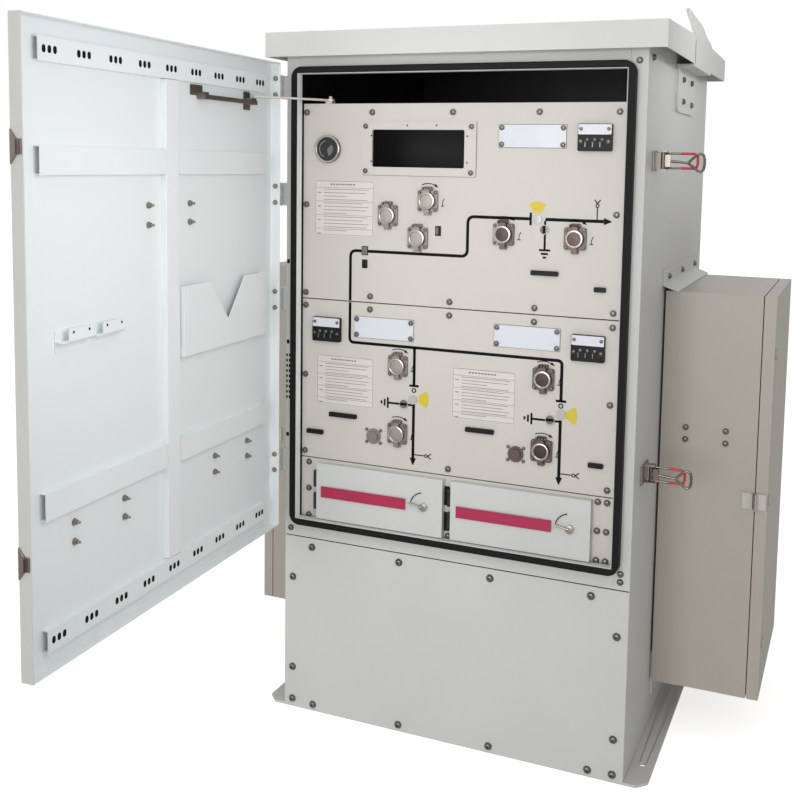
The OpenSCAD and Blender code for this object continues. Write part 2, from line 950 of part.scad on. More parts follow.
// Channel that guides the free end of the stay rod
module stay_channel() {
    wall = 2;
    foot = 26;
    drop = 18;
    low = stay_z - channel_h / 2;
    color(steel)
        door_pose() {
            difference() {
                door_bar([channel_s[0], low], [channel_s[1], low + channel_h],
                    door_t - door_skin - 1);
                block([door_x0 + channel_s[0] - eps, floor_y + wall, low + wall],
                    [door_x0 + channel_s[1] + eps, rim_y, low + channel_h - wall]);
            }
            for (s = [channel_s[0], channel_s[1] - foot])
                door_bar([s, low - drop], [s + foot, low + wall], wall);
        }
}

// Keepers on the door's free edge that the latch hooks pull on
module door_keepers() {
    plate = 3;
    wide = 27;
    hook = 12;
    color(steel)
        door_pose()
            for (up = [latch_low, latch_high])
                translate([door_x0 + door_w, skin_y + 1, plinth_h + up]) {
                    rotate([90, 0, 90])
                        linear_extrude(plate)
                            polygon([[0, -wide], [hook, -hook], [door_t - 3, -hook],
                                [door_t - 3, hook], [hook, hook], [0, wide]]);
                    translate([0, hook, -hook])
                        cube([3 * plate, plate, 2 * hook]);
                }
}

// Door stay rod with its eye, standing on a pivot behind the upper panel

module stay_pivot() {
    color(steel) {
        block([stay_pin[0] - 8, tank_y, upper_top - 40],
            [stay_pin[0] + 8, stay_pin[1] + 8, stay_z - stay_d / 2 - knuckle_gap]);
        post([stay_pin[0], stay_pin[1], stay_z - stay_d / 2 - knuckle_gap - eps], 8,
            stay_d + 6);
    }
}

module stay_rod() {
    eye = 18;
    color(steel)
        translate([stay_pin[0], stay_pin[1], stay_z])
            rotate([0, 0, -stay_turn])
                difference() {
                    union() {
                        translate([0, 0, -stay_d / 2])
                            cylinder(d = eye, h = stay_d);
                        translate([eye / 2 - 2, 0, 0])
                            rotate([0, 90, 0])
                                cylinder(d = stay_d, h = stay_len - eye / 2 + 2);
                    }
                    translate([0, 0, -stay_d])
                        cylinder(d = 8.1, h = 2 * stay_d);
                }
}

// Side boxes

// Angle with a padlock hole that stands on a side box beside the seam
module hasp_tab(x, side) {
    leg = 23;
    out = 16;
    difference() {
        translate([x, box_y0, box_z + hasp_up]) {
            block([min(0, side * leg), -hasp_t, 0], [max(0, side * leg), 0, hasp_h]);
            block([min(0, side * hasp_t), -out, 0], [max(0, side * hasp_t), 0, hasp_h]);
        }
        translate([x - 2 * hasp_t, box_y0 - out / 2 - hasp_t / 2, box_z + hasp_up + hasp_h / 2])
            rotate([0, 90, 0])
                cylinder(d = out / 2, h = 4 * hasp_t);
    }
}

module box_body() {
    difference() {
        block([box_x0, box_y0, box_z], [box_x1, box_y1, box_z1]);
        block([box_x0 + box_t, box_y0 + box_t, box_z + box_t],
            [box_x1 + eps, box_y1 - box_t, box_z1 - box_t]);
    }
    hasp_tab(box_x1 - hasp_t, -1);
    for (up = [0.15, 0.85])
        box_hinge(box_z + up * box_h, true);
}

// A hinge at the rear of a side box: the fixed or the moving knuckles
module box_hinge(z, fixed) {
    third = hinge_h / 3;
    if (fixed)
        for (side = [-1, 1])
            translate([0, 0, z + side * (third + knuckle_gap) - third / 2]) {
                post([box_pin[0], box_pin[1], 0], hinge_d, third);
                block([box_x1 - 30, box_y1, 0],
                    [box_x1 - box_t, box_pin[1] + hinge_d / 2, third]);
                block([box_x1 - 30, box_pin[1], 0],
                    [box_pin[0], box_pin[1] + hinge_d / 2, third]);
            }
    else
        translate([0, 0, z - third / 2]) {
            post([box_pin[0], box_pin[1], 0], hinge_d, third);
            block([box_pin[0], box_y1, 0],
                [box_pin[0] + hinge_d / 2, box_pin[1], third]);
        }
}

module right_box_body() {
    color(box_grey)
        box_body();
}

module left_box_body() {
    color(box_grey)
        left_side()
            translate([0, left_shift, 0])
                box_body();
}

// Door of a side box: a tray hinged at the rear, with three turn locks
module box_door() {
    x0 = box_x1 + box_seam;
    x1 = box_x1 + box_door_t + box_seam;
    difference() {
        block([x0, box_y0, box_z], [x1, box_y1, box_z1]);
        block([x0 - eps, box_y0 + box_t, box_z + box_t],
            [x1 - box_t, box_y1 - box_t, box_z1 - box_t]);
    }
    hasp_tab(x0, 1);
    for (up = [0.14, 0.5, 0.86])
        translate([x1, box_y0 + 24, box_z + up * box_h])
            rotate([0, 90, 0])
                cylinder(d = 24, h = 5);
    for (up = [0.15, 0.85])
        box_hinge(box_z + up * box_h, false);
}

module right_box_door() {
    color(box_grey)
        box_door();
}

module left_box_door() {
    color(box_grey)
        left_side()
            translate([0, left_shift, 0])
                box_door();
}

// Brackets of the side boxes: a drip flashing above and a rest below
module box_bracket() {
    sheet = 3;
    y0 = box_y0 - 20;
    run = box_w + 40;
    translate([half_w, y0 + run, 0])
        rotate([90, 0, 0])
            linear_extrude(run)
                polygon([[0, box_z1 + 46], [sheet, box_z1 + 46],
                    [sheet, box_z1 + 14], [34, box_z1 + 3], [34, box_z1],
                    [0, box_z1 + 12]]);
    translate([half_w, box_y0 + 10, 0])
        rotate([90, 0, 0])
            mirror([0, 0, 1])
                linear_extrude(box_w - 20)
                    polygon([[0, box_z - 40], [box_gap, box_z - 40],
                        [box_gap, box_z - 6], [60, box_z - 6], [60, box_z],
                        [box_gap, box_z], [box_gap, box_z + 60], [0, box_z + 60]]);
}

module box_brackets() {
    color(cabinet_grey) {
        box_bracket();
        left_side()
            translate([0, left_shift, 0])
                box_bracket();
    }
}

// Toggle latches on the right wall

latch_pin = [half_w + latch_out, front_y + latch_in];
ear_z = 17;
ear_t = 3;
wire_d = 4;

module latch_bases() {
    plate = 4;
    half = 34;
    ear = 9;
    color(steel)
        for (up = [latch_low, latch_high])
            translate([0, 0, plinth_h + up]) {
                block([half_w, latch_pin[1] - half, -ear_z - ear_t],
                    [half_w + plate, latch_pin[1] + half, ear_z + ear_t]);
                for (z = [-ear_z - ear_t, ear_z])
                    block([half_w, latch_pin[1] - ear, z],
                        [latch_pin[0] + ear, latch_pin[1] + ear, z + ear_t]);
            }
}

// A ring of round bar in the plane of the lever
module wire_ring(r) {
    rotate([90, 0, 0])
        rotate_extrude()
            translate([r, 0])
                circle(d = wire_d);
}

// A straight length of round bar that leaves the pivot
module wire_rod(length) {
    rotate([0, 90, 0])
        cylinder(d = wire_d, h = length);
}

// A wire lever with two arms joined by a half ring, and between them a hook
// rod that ends in a full ring
module latch_lever(z) {
    reach = 2 * (ear_z - knuckle_gap);
    arm_z = (reach - wire_d) / 2;
    arm_x = arm_len - arm_z - wire_d / 2;
    ring_r = lever_len / 5;
    ring_x = lever_len - ring_r - wire_d / 2;
    translate([latch_pin[0], latch_pin[1], z]) {
        translate([0, 0, -reach / 2])
            cylinder(d = 2.5 * wire_d, h = reach);
        for (side = [-1, 1])
            translate([0, 0, side * arm_z])
                wire_rod(arm_x);
        translate([arm_x, 0, 0])
            difference() {
                wire_ring(arm_z);
                translate([-2 * arm_z, -wire_d, -2 * arm_z])
                    cube([2 * arm_z, 2 * wire_d, 4 * arm_z]);
            }
        translate([0, -wire_d, 0]) {
            wire_rod(ring_x - ring_r);
            translate([ring_x, 0, 0])
                wire_ring(ring_r);
        }
    }
}

module upper_latch_lever() {
    color("firebrick")
        latch_lever(plinth_h + latch_high);
}

module lower_latch_lever() {
    color("firebrick")
        latch_lever(plinth_h + latch_low);
}

left_wall();
right_wall();
back_wall();
plinth_front_panel();
plinth_back_panel();
left_foot_flange();
right_foot_flange();
left_post();
right_post();
top_beam();
bottom_beam();
roof();
lifting_lug();
door_gasket();
switchgear_tank();
tank_rails();
upper_panel();
lower_panel();
test_panel();
test_bushings();
window_frame();
pressure_gauge();
name_plates();
voltage_indicators();
socket_flanges();
socket_caps();
phase_plugs();
interlock_tabs();
position_dials();
door_hinge_leaves();
latch_bases();
stay_pivot();
right_box_body();
left_box_body();
box_brackets();
front_door_panel();
door_rails();
door_stiffeners();
document_pocket();
handle_brackets();
stay_channel();
door_keepers();
door_knuckles();
stay_rod();
test_cover_left();
test_cover_right();
right_box_door();
left_box_door();
upper_latch_lever();
lower_latch_lever();
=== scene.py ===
# %% [markdown]
# # An outdoor ring main unit, dressed for its portrait
#
# A ring main unit is the grey steel kiosk at the side of a street that switches a
# medium-voltage cable ring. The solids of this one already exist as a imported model, in
# metres. In this lesson they are loaded as a fixed frame, and Blender adds what a solid
# model leaves out: paint, bolts, the printed circuit diagram, labels, wire handles, light.

# %% Load the frame
import json
import math

import bmesh
import bpy
from mathutils import Matrix, Vector


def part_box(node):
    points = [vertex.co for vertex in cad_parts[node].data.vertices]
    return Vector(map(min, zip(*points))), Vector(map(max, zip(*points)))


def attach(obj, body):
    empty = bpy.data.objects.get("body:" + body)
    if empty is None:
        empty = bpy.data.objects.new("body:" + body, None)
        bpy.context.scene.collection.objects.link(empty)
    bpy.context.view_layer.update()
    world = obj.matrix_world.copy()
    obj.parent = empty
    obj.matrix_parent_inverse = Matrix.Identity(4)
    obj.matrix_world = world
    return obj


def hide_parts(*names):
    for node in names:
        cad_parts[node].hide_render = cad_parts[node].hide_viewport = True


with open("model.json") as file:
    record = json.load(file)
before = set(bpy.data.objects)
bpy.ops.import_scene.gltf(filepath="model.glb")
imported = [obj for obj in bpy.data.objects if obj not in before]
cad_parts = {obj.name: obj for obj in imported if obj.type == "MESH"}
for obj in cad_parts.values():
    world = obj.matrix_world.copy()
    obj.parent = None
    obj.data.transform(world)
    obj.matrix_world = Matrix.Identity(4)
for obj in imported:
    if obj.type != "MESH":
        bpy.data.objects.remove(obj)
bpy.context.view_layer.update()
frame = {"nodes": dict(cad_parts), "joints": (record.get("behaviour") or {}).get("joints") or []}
nodes = frame["nodes"]
joints = {joint["name"]: joint for joint in frame["joints"]}
MM = 0.001
PANEL_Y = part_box("lower_panel")[0].y / MM
COVER_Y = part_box("test_cover_left")[0].y / MM
hinge = joints["front_door_hinge"]
door_pin = Matrix.Translation(hinge["pos_m"])
open_angle = math.radians(hinge["range_deg"][0])
door_swing = door_pin @ Matrix.Rotation(open_angle, 4, "Z") @ door_pin.inverted()
print(f"panel face at y {PANEL_Y:.1f} mm, cover face at y {COVER_Y:.1f} mm")

# %% [markdown]
# ## The camera
#
# The photograph was taken by hand from the right of the open door, a little above the
# middle of the cabinet. Its focal length, principal point and three angles were found
# from the cabinet's straight edges. Blender takes the principal point as a lens shift, in
# shares of the picture's long side.

# %% Camera
PICTURE = (795, 800)
FOCAL_PX = 1056.7
PRINCIPAL_PX = (432.7, 267.1)
PITCH, ROLL, YAW = 0.0966, 0.0178, 0.3909
EYE = Vector((807.9, -2451.5, 1266.8)) * MM
SENSOR_MM = 36

ahead = Vector((-math.sin(YAW), math.cos(YAW), 0))
forward = math.cos(PITCH) * ahead - Vector((0, 0, math.sin(PITCH)))
level = Vector((math.cos(YAW), math.sin(YAW), 0))
upright = level.cross(forward)
right = math.cos(ROLL) * level + math.sin(ROLL) * upright
up = math.cos(ROLL) * upright - math.sin(ROLL) * level
turn = Matrix((right, up, -forward)).transposed().to_4x4()
lens = bpy.data.cameras.new("camera")
camera = bpy.data.objects.new("camera", lens)
bpy.context.scene.collection.objects.link(camera)
camera.matrix_world = Matrix.Translation(EYE) @ turn
lens.sensor_width = SENSOR_MM
lens.lens = FOCAL_PX / max(PICTURE) * SENSOR_MM
lens.shift_x = (PICTURE[0] / 2 - PRINCIPAL_PX[0]) / max(PICTURE)
lens.shift_y = (PRINCIPAL_PX[1] - PICTURE[1] / 2) / max(PICTURE)
bpy.context.scene.camera = camera
print(f"lens {lens.lens:.1f} mm, shift {lens.shift_x:.3f}, {lens.shift_y:.3f}")

# %% [markdown]
# ## Materials: the helpers
#
# A colour is written as people read it, an sRGB hex code, and one function turns it to the
# linear numbers that a shader wants. A second function adds one node, sets it and links it,
# so that each finish below reads as a short list. Two more name its commonest uses. Pattern
# sizes are given in millimetres.

# %% Material helpers
def linear(code, gain=1.0):
    """Linear RGBA of an sRGB hex code, times a gain."""
    values = [int(code[i:i + 2], 16) / 255 for i in (1, 3, 5)]
    values = [v / 12.92 if v <= 0.04045 else ((v + 0.055) / 1.055) ** 2.4 for v in values]
    return [gain * v for v in values] + [1]


def add(tree, kind, inputs=None, **settings):
    """Adds a node: settings are its own properties, inputs are values or sockets to link."""
    node = tree.nodes.new(kind)
    for name, value in settings.items():
        setattr(node, name, value)
    for key, value in (inputs or {}).items():
        if isinstance(value, bpy.types.NodeSocket):
            tree.links.new(value, node.inputs[key])
        else:
            node.inputs[key].default_value = value
    return node


def new_material(name):
    """An empty node material with its output, its shader and its object coordinates."""
    material = bpy.data.materials.new(name)
    material.use_nodes = True
    tree = material.node_tree
    shader = tree.nodes["Principled BSDF"]
    place = add(tree, "ShaderNodeTexCoord").outputs["Object"]
    return material, tree, shader, place


def blend(tree, share, first, second):
    """A mix of two colours, by a share from zero to one."""
    return add(tree, "ShaderNodeMix", {0: share, 6: first, 7: second}, data_type="RGBA").outputs[2]


def combine(tree, operation, *values):
    """The result of a sum, product or test on numbers."""
    return add(tree, "ShaderNodeMath", dict(enumerate(values)), operation=operation).outputs[0]


def per_mm(size):
    """Texture scale at which one cell of the pattern is this many millimetres."""
    return 1 / (size * MM)


# %% [markdown]
# ## Powder coat
#
# The sheet steel is sprayed with dry powder and baked. That leaves a satin skin with a
# fine orange-peel ripple, almost even in colour, with a faint cloudiness over the width of
# a panel. The real ripple is about 2 mm from crest to crest, too fine to show here, so it
# is drawn at 4 mm. Inside its walls the cabinet is painted near black as painted shade for
# its dim inside: a test of the place on the object, inside the walls or not, picks it. The
# door is cool white on its inside, and its test turns the open door shut first. The knuckles
# of the test covers' hinges are black: they lie in zones of their own, in front of the panel
# or left of a cover.

# %% Powder coats
CLOUD_MM = 260
CLOUD_TONES = (0.94, 1.05)
PEEL_MM = 4
PEEL_RISE_MM = 0.3
PEEL_STRENGTH = 0.12
SATIN_SPREAD = 0.06
# Inside these walls the cabinet paint turns to painted shade.
CABINET_ROOM = ((0, 398.5), (0, 383.5))
DOOR_ROOM = ((0, 405), (-399, 14))
HINGE_BLACK = "#131213"
PANEL_KNUCKLES = [(1, PANEL_Y - 20.6, 20)]
COVER_KNUCKLES = [(0, -326.4, 10), (0, 4, 5.2)]


def within(tree, value, middle, half):
    """One where a coordinate lies within half of the middle, in millimetres; else zero."""
    return combine(tree, "COMPARE", value, middle * MM, half * MM)


def powder_coat(name, colour, inner=None, room=CABINET_ROOM, shut=Matrix(), roughness=0.42,
        black_zones=()):
    """Satin paint: inner is its colour inside a room, and black zones lie along an axis."""
    material, tree, shader, place = new_material(name)
    spot = add(tree, "ShaderNodeMapping", {"Vector": place, "Rotation": shut.to_euler(),
        "Location": shut.translation})
    axes = add(tree, "ShaderNodeSeparateXYZ", {0: spot.outputs[0]}).outputs
    cloud = add(tree, "ShaderNodeTexNoise", {"Vector": place, "Scale": per_mm(CLOUD_MM),
        "Detail": 3}).outputs["Fac"]
    paint = blend(tree, cloud, *[linear(colour, tone) for tone in CLOUD_TONES])
    if inner:
        walls = [within(tree, axes[i], *room[i]) for i in (0, 1)]
        paint = blend(tree, combine(tree, "MULTIPLY", *walls), paint, linear(inner))
    for axis, middle, half in black_zones:
        paint = blend(tree, within(tree, axes[axis], middle, half), paint, linear(HINGE_BLACK))
    tree.links.new(paint, shader.inputs["Base Color"])
    peel = add(tree, "ShaderNodeTexNoise", {"Vector": place, "Scale": per_mm(PEEL_MM), "Detail": 1})
    ripple = add(tree, "ShaderNodeBump", {"Height": peel.outputs["Fac"], "Strength": PEEL_STRENGTH,
        "Distance": PEEL_RISE_MM * MM})
    tree.links.new(ripple.outputs[0], shader.inputs["Normal"])
    satin = add(tree, "ShaderNodeMapRange", {"Value": cloud, "To Min": roughness - SATIN_SPREAD,
        "To Max": roughness + SATIN_SPREAD})
    tree.links.new(satin.outputs[0], shader.inputs["Roughness"])
    return material


# Near black inside the walls: painted shade for the dim inside of the cabinet.
cabinet_paint_and_interior_shade = powder_coat("powder_coat_light_grey", "#d1d1ce", inner="#191817")
roof_paint = powder_coat("powder_coat_light_grey_roof", "#d6d6d3")
# This white also covers the sealing lip's inner sides, as painted light.
door_white_and_lip_light = powder_coat("powder_coat_cool_white_and_painted_lip_light", "#eef3f4")
door_paint = powder_coat("powder_coat_grey_outside_white_inside", "#c6c6c3", inner="#eef3f4",
    room=DOOR_ROOM, shut=door_swing.inverted())
panel_paint = powder_coat("powder_coat_warm_grey", "#cdc8c2")
box_paint = powder_coat("powder_coat_stone_grey", "#b8b1a7")
hasp_paint = powder_coat("powder_coat_pale_grey", "#c9c8c2")
test_panel_paint = powder_coat("powder_coat_warm_grey_with_black_hinges", "#cdc8c2",
    black_zones=PANEL_KNUCKLES)
cover_paint = powder_coat("powder_coat_cover_grey", "#cfd0ce", black_zones=COVER_KNUCKLES)
# The tank and its rails, near black: painted shade for the dark inside.
interior_shade_coat = powder_coat("painted_interior_shade", "#1d1c1b", roughness=0.7)

# %% [markdown]
# ## Steel, rubber, plastics and films
#
# The bolts, socket flanges and latches are stainless steel, brushed or tumbled, so the
# reflection is drawn out into streaks about 7 mm long and half a millimetre wide. On the
# sockets on the right a dark brown reflection is painted into the steel: the place on the
# object tells them apart. The gasket is extruded rubber. The diagram is cut from black vinyl
# film, the bands from crimson film, and the name plates from engraving laminate. Films and
# plastics get a faint grain and their own gloss.

# %% Metals
STREAK_MM = 7.2
STREAK_TONES = (0.82, 1.12)
GLOSS_SPREAD = (-0.08, 0.1)
REFLECTION_FROM_X = 100


def brushed_steel(name, colour, roughness, along=(1, 1, 12), metallic=1.0, reflection_colour=None):
    """Streaked metal: along says how much finer the streaks are along each axis."""
    material, tree, shader, place = new_material(name)
    stretch = add(tree, "ShaderNodeMapping", {"Vector": place, "Scale": along}).outputs[0]
    streak = add(tree, "ShaderNodeTexNoise", {"Vector": stretch, "Scale": per_mm(STREAK_MM),
        "Detail": 4}).outputs["Fac"]
    tone = blend(tree, streak, *[linear(colour, gain) for gain in STREAK_TONES])
    # Right of a line the tone turns dark brown: a painted reflection.
    if reflection_colour:
        x = add(tree, "ShaderNodeSeparateXYZ", {0: place}).outputs[0]
        beyond = combine(tree, "GREATER_THAN", x, REFLECTION_FROM_X * MM)
        tone = blend(tree, beyond, tone, linear(reflection_colour))
    tree.links.new(tone, shader.inputs["Base Color"])
    shader.inputs["Metallic"].default_value = metallic
    gloss = add(tree, "ShaderNodeMapRange", {"Value": streak,
        "To Min": roughness + GLOSS_SPREAD[0], "To Max": roughness + GLOSS_SPREAD[1]})
    tree.links.new(gloss.outputs[0], shader.inputs["Roughness"])
    return material


bolt_steel = brushed_steel("tumbled_stainless_steel", "#75726e", 0.34)
# The sockets right of x = 100 mm get a painted dark brown reflection.
socket_steel_and_reflection = brushed_steel("stainless_casting_with_painted_reflection", "#8e8883", 0.4, reflection_colour="#625853")
cap_steel = brushed_steel("stainless_cap", "#a19a93", 0.4)
reflection_cap = brushed_steel("cap_painted_dark_reflection", "#4d4340", 0.3)
rim_steel = brushed_steel("turned_stainless_rim", "#c2bdb7", 0.2)
latch_steel = brushed_steel("polished_stainless_wire", "#79736d", 0.26)
keeper_steel = brushed_steel("browned_steel_plate", "#8b817a", 0.34)
channel_steel = brushed_steel("zinc_plated_strip", "#cdc7bf", 0.4, along=(1, 12, 1), metallic=0.3)

# %% Rubbers, plastics and films
GRAIN_MM = 1.5
GRAIN_RISE_MM = 0.2
GRAIN_TONES = (0.9, 1.1)


def moulded(name, colour, roughness, bump=0.05, coat=0.0, shine=0.5):
    """A fine-grained surface with its own gloss."""
    material, tree, shader, place = new_material(name)
    grain = add(tree, "ShaderNodeTexNoise", {"Vector": place, "Scale": per_mm(GRAIN_MM),
        "Detail": 2}).outputs["Fac"]
    tone = blend(tree, grain, *[linear(colour, gain) for gain in GRAIN_TONES])
    tree.links.new(tone, shader.inputs["Base Color"])
    relief = add(tree, "ShaderNodeBump", {"Height": grain, "Strength": bump,
        "Distance": GRAIN_RISE_MM * MM})
    tree.links.new(relief.outputs[0], shader.inputs["Normal"])
    shader.inputs["Roughness"].default_value = roughness
    shader.inputs["Coat Weight"].default_value = coat
    shader.inputs["Specular IOR Level"].default_value = shine
    return material


gasket_rubber = moulded("extruded_rubber", "#100f0f", 0.6, bump=0.12, shine=0.2)
black_plastic = moulded("moulded_black_plastic", "#131212", 0.4, shine=0.2)
# Black film is cut for the diagram, and stands as painted shade in gaps, vents, slots and holes.
black_film_and_painted_shade = moulded("black_vinyl_film_and_painted_shade", "#0a0909", 0.45, shine=0.1)
crimson_film = moulded("crimson_vinyl_film", "#ad1f4b", 0.38)
yellow_film = moulded("yellow_vinyl_film", "#d3bd2c", 0.4)
label_film = moulded("printed_label_film", "#d8d3cc", 0.42)
# Grey ink prints the label rules, and draws painted shadow lines round the plates.
ink_and_painted_shadow = moulded("grey_ink_and_painted_shadow", "#7b756f", 0.5)
white_laminate = moulded("white_engraving_laminate", "#d8dae2", 0.3, coat=0.2)
dial_lens = moulded("clear_dial_lens", "#b9b7b3", 0.15, coat=0.8)
dial_glass = moulded("smoked_dial_glass", "#242324", 0.2, coat=0.5, shine=0.3)
lamp_lens = moulded("frosted_lamp_lens", "#6d6a68", 0.25, coat=0.5)
red_dip = moulded("red_dipped_vinyl", "#c42433", 0.35, coat=0.3)
bushing_resin = moulded("cast_epoxy_resin", "#6b3a2a", 0.4)
print(len(bpy.data.materials), "materials")

# %% [markdown]
# ## Painting the solids
#
# Every node of the frame keeps its shape and gets a finish. A weld and a small bevel round
# its sharp edges as folded sheet does: folds catch a thin line of light, and two panels
# that meet flush show their seam. Punched sheet stays sharp.

# %% Paint the nodes
FOLD_MM = 0.9
WELD_MM = 0.01
SHARP_DEG = 40
PUNCHED = ["door_rails"]
FINISHES = {
    roof_paint: ["roof"],
    door_paint: ["front_door_panel"],
    door_white_and_lip_light: ["door_rails", "door_stiffeners", "document_pocket", "handle_brackets"],
    panel_paint: ["upper_panel", "lower_panel", "window_frame"],
    test_panel_paint: ["test_panel"],
    cover_paint: ["test_cover_left", "test_cover_right"],
    box_paint: ["right_box_body", "left_box_body", "right_box_door", "left_box_door"],
    interior_shade_coat: ["switchgear_tank", "tank_rails"],
    gasket_rubber: ["door_gasket"],
    black_plastic: ["voltage_indicators", "interlock_tabs"],
    white_laminate: ["name_plates"],
    dial_lens: ["position_dials"],
    bushing_resin: ["test_bushings"],
    socket_steel_and_reflection: ["socket_flanges", "socket_caps", "phase_plugs", "pressure_gauge"],
    latch_steel: ["upper_latch_lever", "lower_latch_lever"],
    cap_steel: ["latch_bases"],
    channel_steel: ["stay_channel", "stay_pivot", "stay_rod"],
    keeper_steel: ["door_keepers"],
}
finish_of = {name: material for material, names in FINISHES.items() for name in names}
for name, node in nodes.items():
    node.data.materials.clear()
    node.data.materials.append(finish_of.get(name, cabinet_paint_and_interior_shade))
    if name in PUNCHED:
        continue
    node.modifiers.new("weld", "WELD").merge_threshold = WELD_MM * MM
    fold = node.modifiers.new("fold", "BEVEL")
    fold.width = FOLD_MM * MM
    fold.segments = 2
    fold.limit_method = "ANGLE"
    fold.angle_limit = math.radians(SHARP_DEG)
    fold.use_clamp_overlap = True
print(len(finish_of), "nodes with a finish of their own, the rest in cabinet paint")

# %% [markdown]
# ## Tools for small pieces
#
# Bolts, tapes and wires are too small for the solid model. Each shape is made once at the
# origin, standing on its own z axis, and is then stamped wherever it is needed. A place is
# a matrix that turns the shape so that its z axis leaves the face it stands on. It is given
# by two coordinates on the face, and the third is where the face itself lies.

# %% Places on the faces
def facing(x_axis, y_axis, at):
    """A matrix at a point in millimetres, with z along the cross product of two axes."""
    x_axis, y_axis = Vector(x_axis), Vector(y_axis)
    turned = Matrix((x_axis, y_axis, x_axis.cross(y_axis))).transposed().to_4x4()
    return Matrix.Translation(Vector(at) * MM) @ turned


def on_front(x, z, y):
    return facing((1, 0, 0), (0, 0, 1), (x, y, z))


def on_right(y, z, x):
    return facing((0, 1, 0), (0, 0, 1), (x, y, z))


def on_left(y, z, x):
    return facing((0, -1, 0), (0, 0, 1), (x, y, z))


def on_back(x, z, y):
    return facing((-1, 0, 0), (0, 0, 1), (x, y, z))


DOOR_EDGE_X = -406
DOOR_FLOOR_Y = -412


def on_door(s, z, depth=0):
    """A place on the open door's inner face, s millimetres from its hinged edge."""
    return door_swing @ facing((-1, 0, 0), (0, 0, 1), (DOOR_EDGE_X + s, DOOR_FLOOR_Y + depth, z))


def on_hinge_flange(z, up=11):
    """A place on the inside of the open door's hinged flange, facing its free edge."""
    return door_swing @ facing((0, 1, 0), (0, 0, 1), (DOOR_EDGE_X + 2, DOOR_FLOOR_Y + up, z))


# %% Shapes
CORNER_STEPS = 4
SMOOTH_DEG = 35
SAME_PLACE = 1e-6


def lathe(bm, profile, steps=20, place=Matrix()):
    """Spins a profile of (radius, height) points, in millimetres, about the z axis."""
    part = bmesh.new()
    points = [part.verts.new((r * MM, 0, z * MM)) for r, z in profile]
    lines = [part.edges.new(pair) for pair in zip(points, points[1:])]
    bmesh.ops.spin(part, geom=points + lines, cent=(0, 0, 0), axis=(0, 0, 1), angle=math.tau,
        steps=steps, use_merge=True)
    pour(bm, part, place)


def plate(bm, width, height, thick, radius, place):
    """A plate with round corners that lies on its face, centred."""
    part = bmesh.new()
    size = Matrix.Diagonal((width * MM, height * MM, thick * MM, 1))
    lift = Matrix.Translation((0, 0, thick * MM / 2))
    bmesh.ops.create_cube(part, size=1, matrix=lift @ size)
    if radius:
        corners = [e for e in part.edges
            if abs((e.verts[0].co - e.verts[1].co).normalized().z) > 0.9]
        bmesh.ops.bevel(part, geom=corners, offset=radius * MM, affect="EDGES",
            segments=CORNER_STEPS, profile=0.5, material=-1)
    pour(bm, part, place)


def raise_faces(part, thick):
    """Gives a flat sheet a thickness in millimetres."""
    lift = bmesh.ops.extrude_face_region(part, geom=part.faces[:])["geom"]
    tops = [g for g in lift if isinstance(g, bmesh.types.BMVert)]
    bmesh.ops.translate(part, vec=(0, 0, thick * MM), verts=tops)


def tape(bm, path, width, thick, place):
    """A flat strip along a path of (x, y) points in millimetres, mitred at its bends."""
    points = [Vector((x, y, 0)) * MM for x, y in path]
    strip = bmesh.new()
    edge = None
    for i, point in enumerate(points):
        ahead = (points[min(i + 1, len(points) - 1)] - point).normalized()
        behind = (point - points[max(i - 1, 0)]).normalized()
        along = (ahead + behind).normalized()
        reach = width * MM / 2 / max(along.dot(ahead if ahead.length else behind), 0.3)
        side = Vector((-along.y, along.x, 0)) * reach
        if edge is None:
            edge = strip.edges.new([strip.verts.new(point - side), strip.verts.new(point + side)])
        else:
            made = bmesh.ops.extrude_edge_only(strip, edges=[edge])["geom"]
            edge = next(g for g in made if isinstance(g, bmesh.types.BMEdge))
            for vert in edge.verts:
                vert.co = point + side if (vert.co - last_left).length < 1e-9 else point - side
        last_left = point + side
    raise_faces(strip, thick)
    pour(bm, strip, place)


def sector(bm, inner, outer, start, sweep, thick, place, steps=10):
    """A flat ring sector, from a start angle in degrees."""
    part = bmesh.new()
    edge = part.edges.new([part.verts.new((r * MM, 0, 0)) for r in (inner, outer)])
    bmesh.ops.spin(part, geom=list(edge.verts) + [edge], cent=(0, 0, 0), axis=(0, 0, 1),
        angle=math.radians(sweep), steps=steps, use_merge=sweep == 360)
    raise_faces(part, thick)
    pour(bm, part, place @ Matrix.Rotation(math.radians(start), 4, "Z"))


def wire(bm, path, diameter, place=Matrix(), sides=10):
    """A round wire that follows a path of points in millimetres."""
    points = [Vector(p) * MM for p in path]
    rod = bmesh.new()
    verts = bmesh.ops.create_circle(rod, cap_ends=True, segments=sides,
        radius=diameter * MM / 2)["verts"]
    spin = Vector((0, 0, 1)).rotation_difference(points[1] - points[0]).to_matrix().to_4x4()
    stand = Matrix.Translation(points[0]) @ spin
    bmesh.ops.transform(rod, matrix=stand, verts=verts)
    ring = rod.edges[:]
    for i in range(1, len(points)):
        ahead = points[min(i + 1, len(points) - 1)] - points[i]
        behind = points[i] - points[i - 1]
        along = behind.normalized() + (ahead.normalized() if ahead.length else Vector())
        heading = spin.to_3x3() @ Vector((0, 0, 1))
        spin = heading.rotation_difference(along).to_matrix().to_4x4() @ spin
        target = Matrix.Translation(points[i]) @ spin
        made = bmesh.ops.extrude_edge_only(rod, edges=ring)["geom"]
        ring = [g for g in made if isinstance(g, bmesh.types.BMEdge)]
        fresh = [g for g in made if isinstance(g, bmesh.types.BMVert)]
        bmesh.ops.transform(rod, matrix=target @ stand.inverted(), verts=fresh)
        stand = target
    bmesh.ops.contextual_create(rod, geom=ring)
    pour(bm, rod, place)


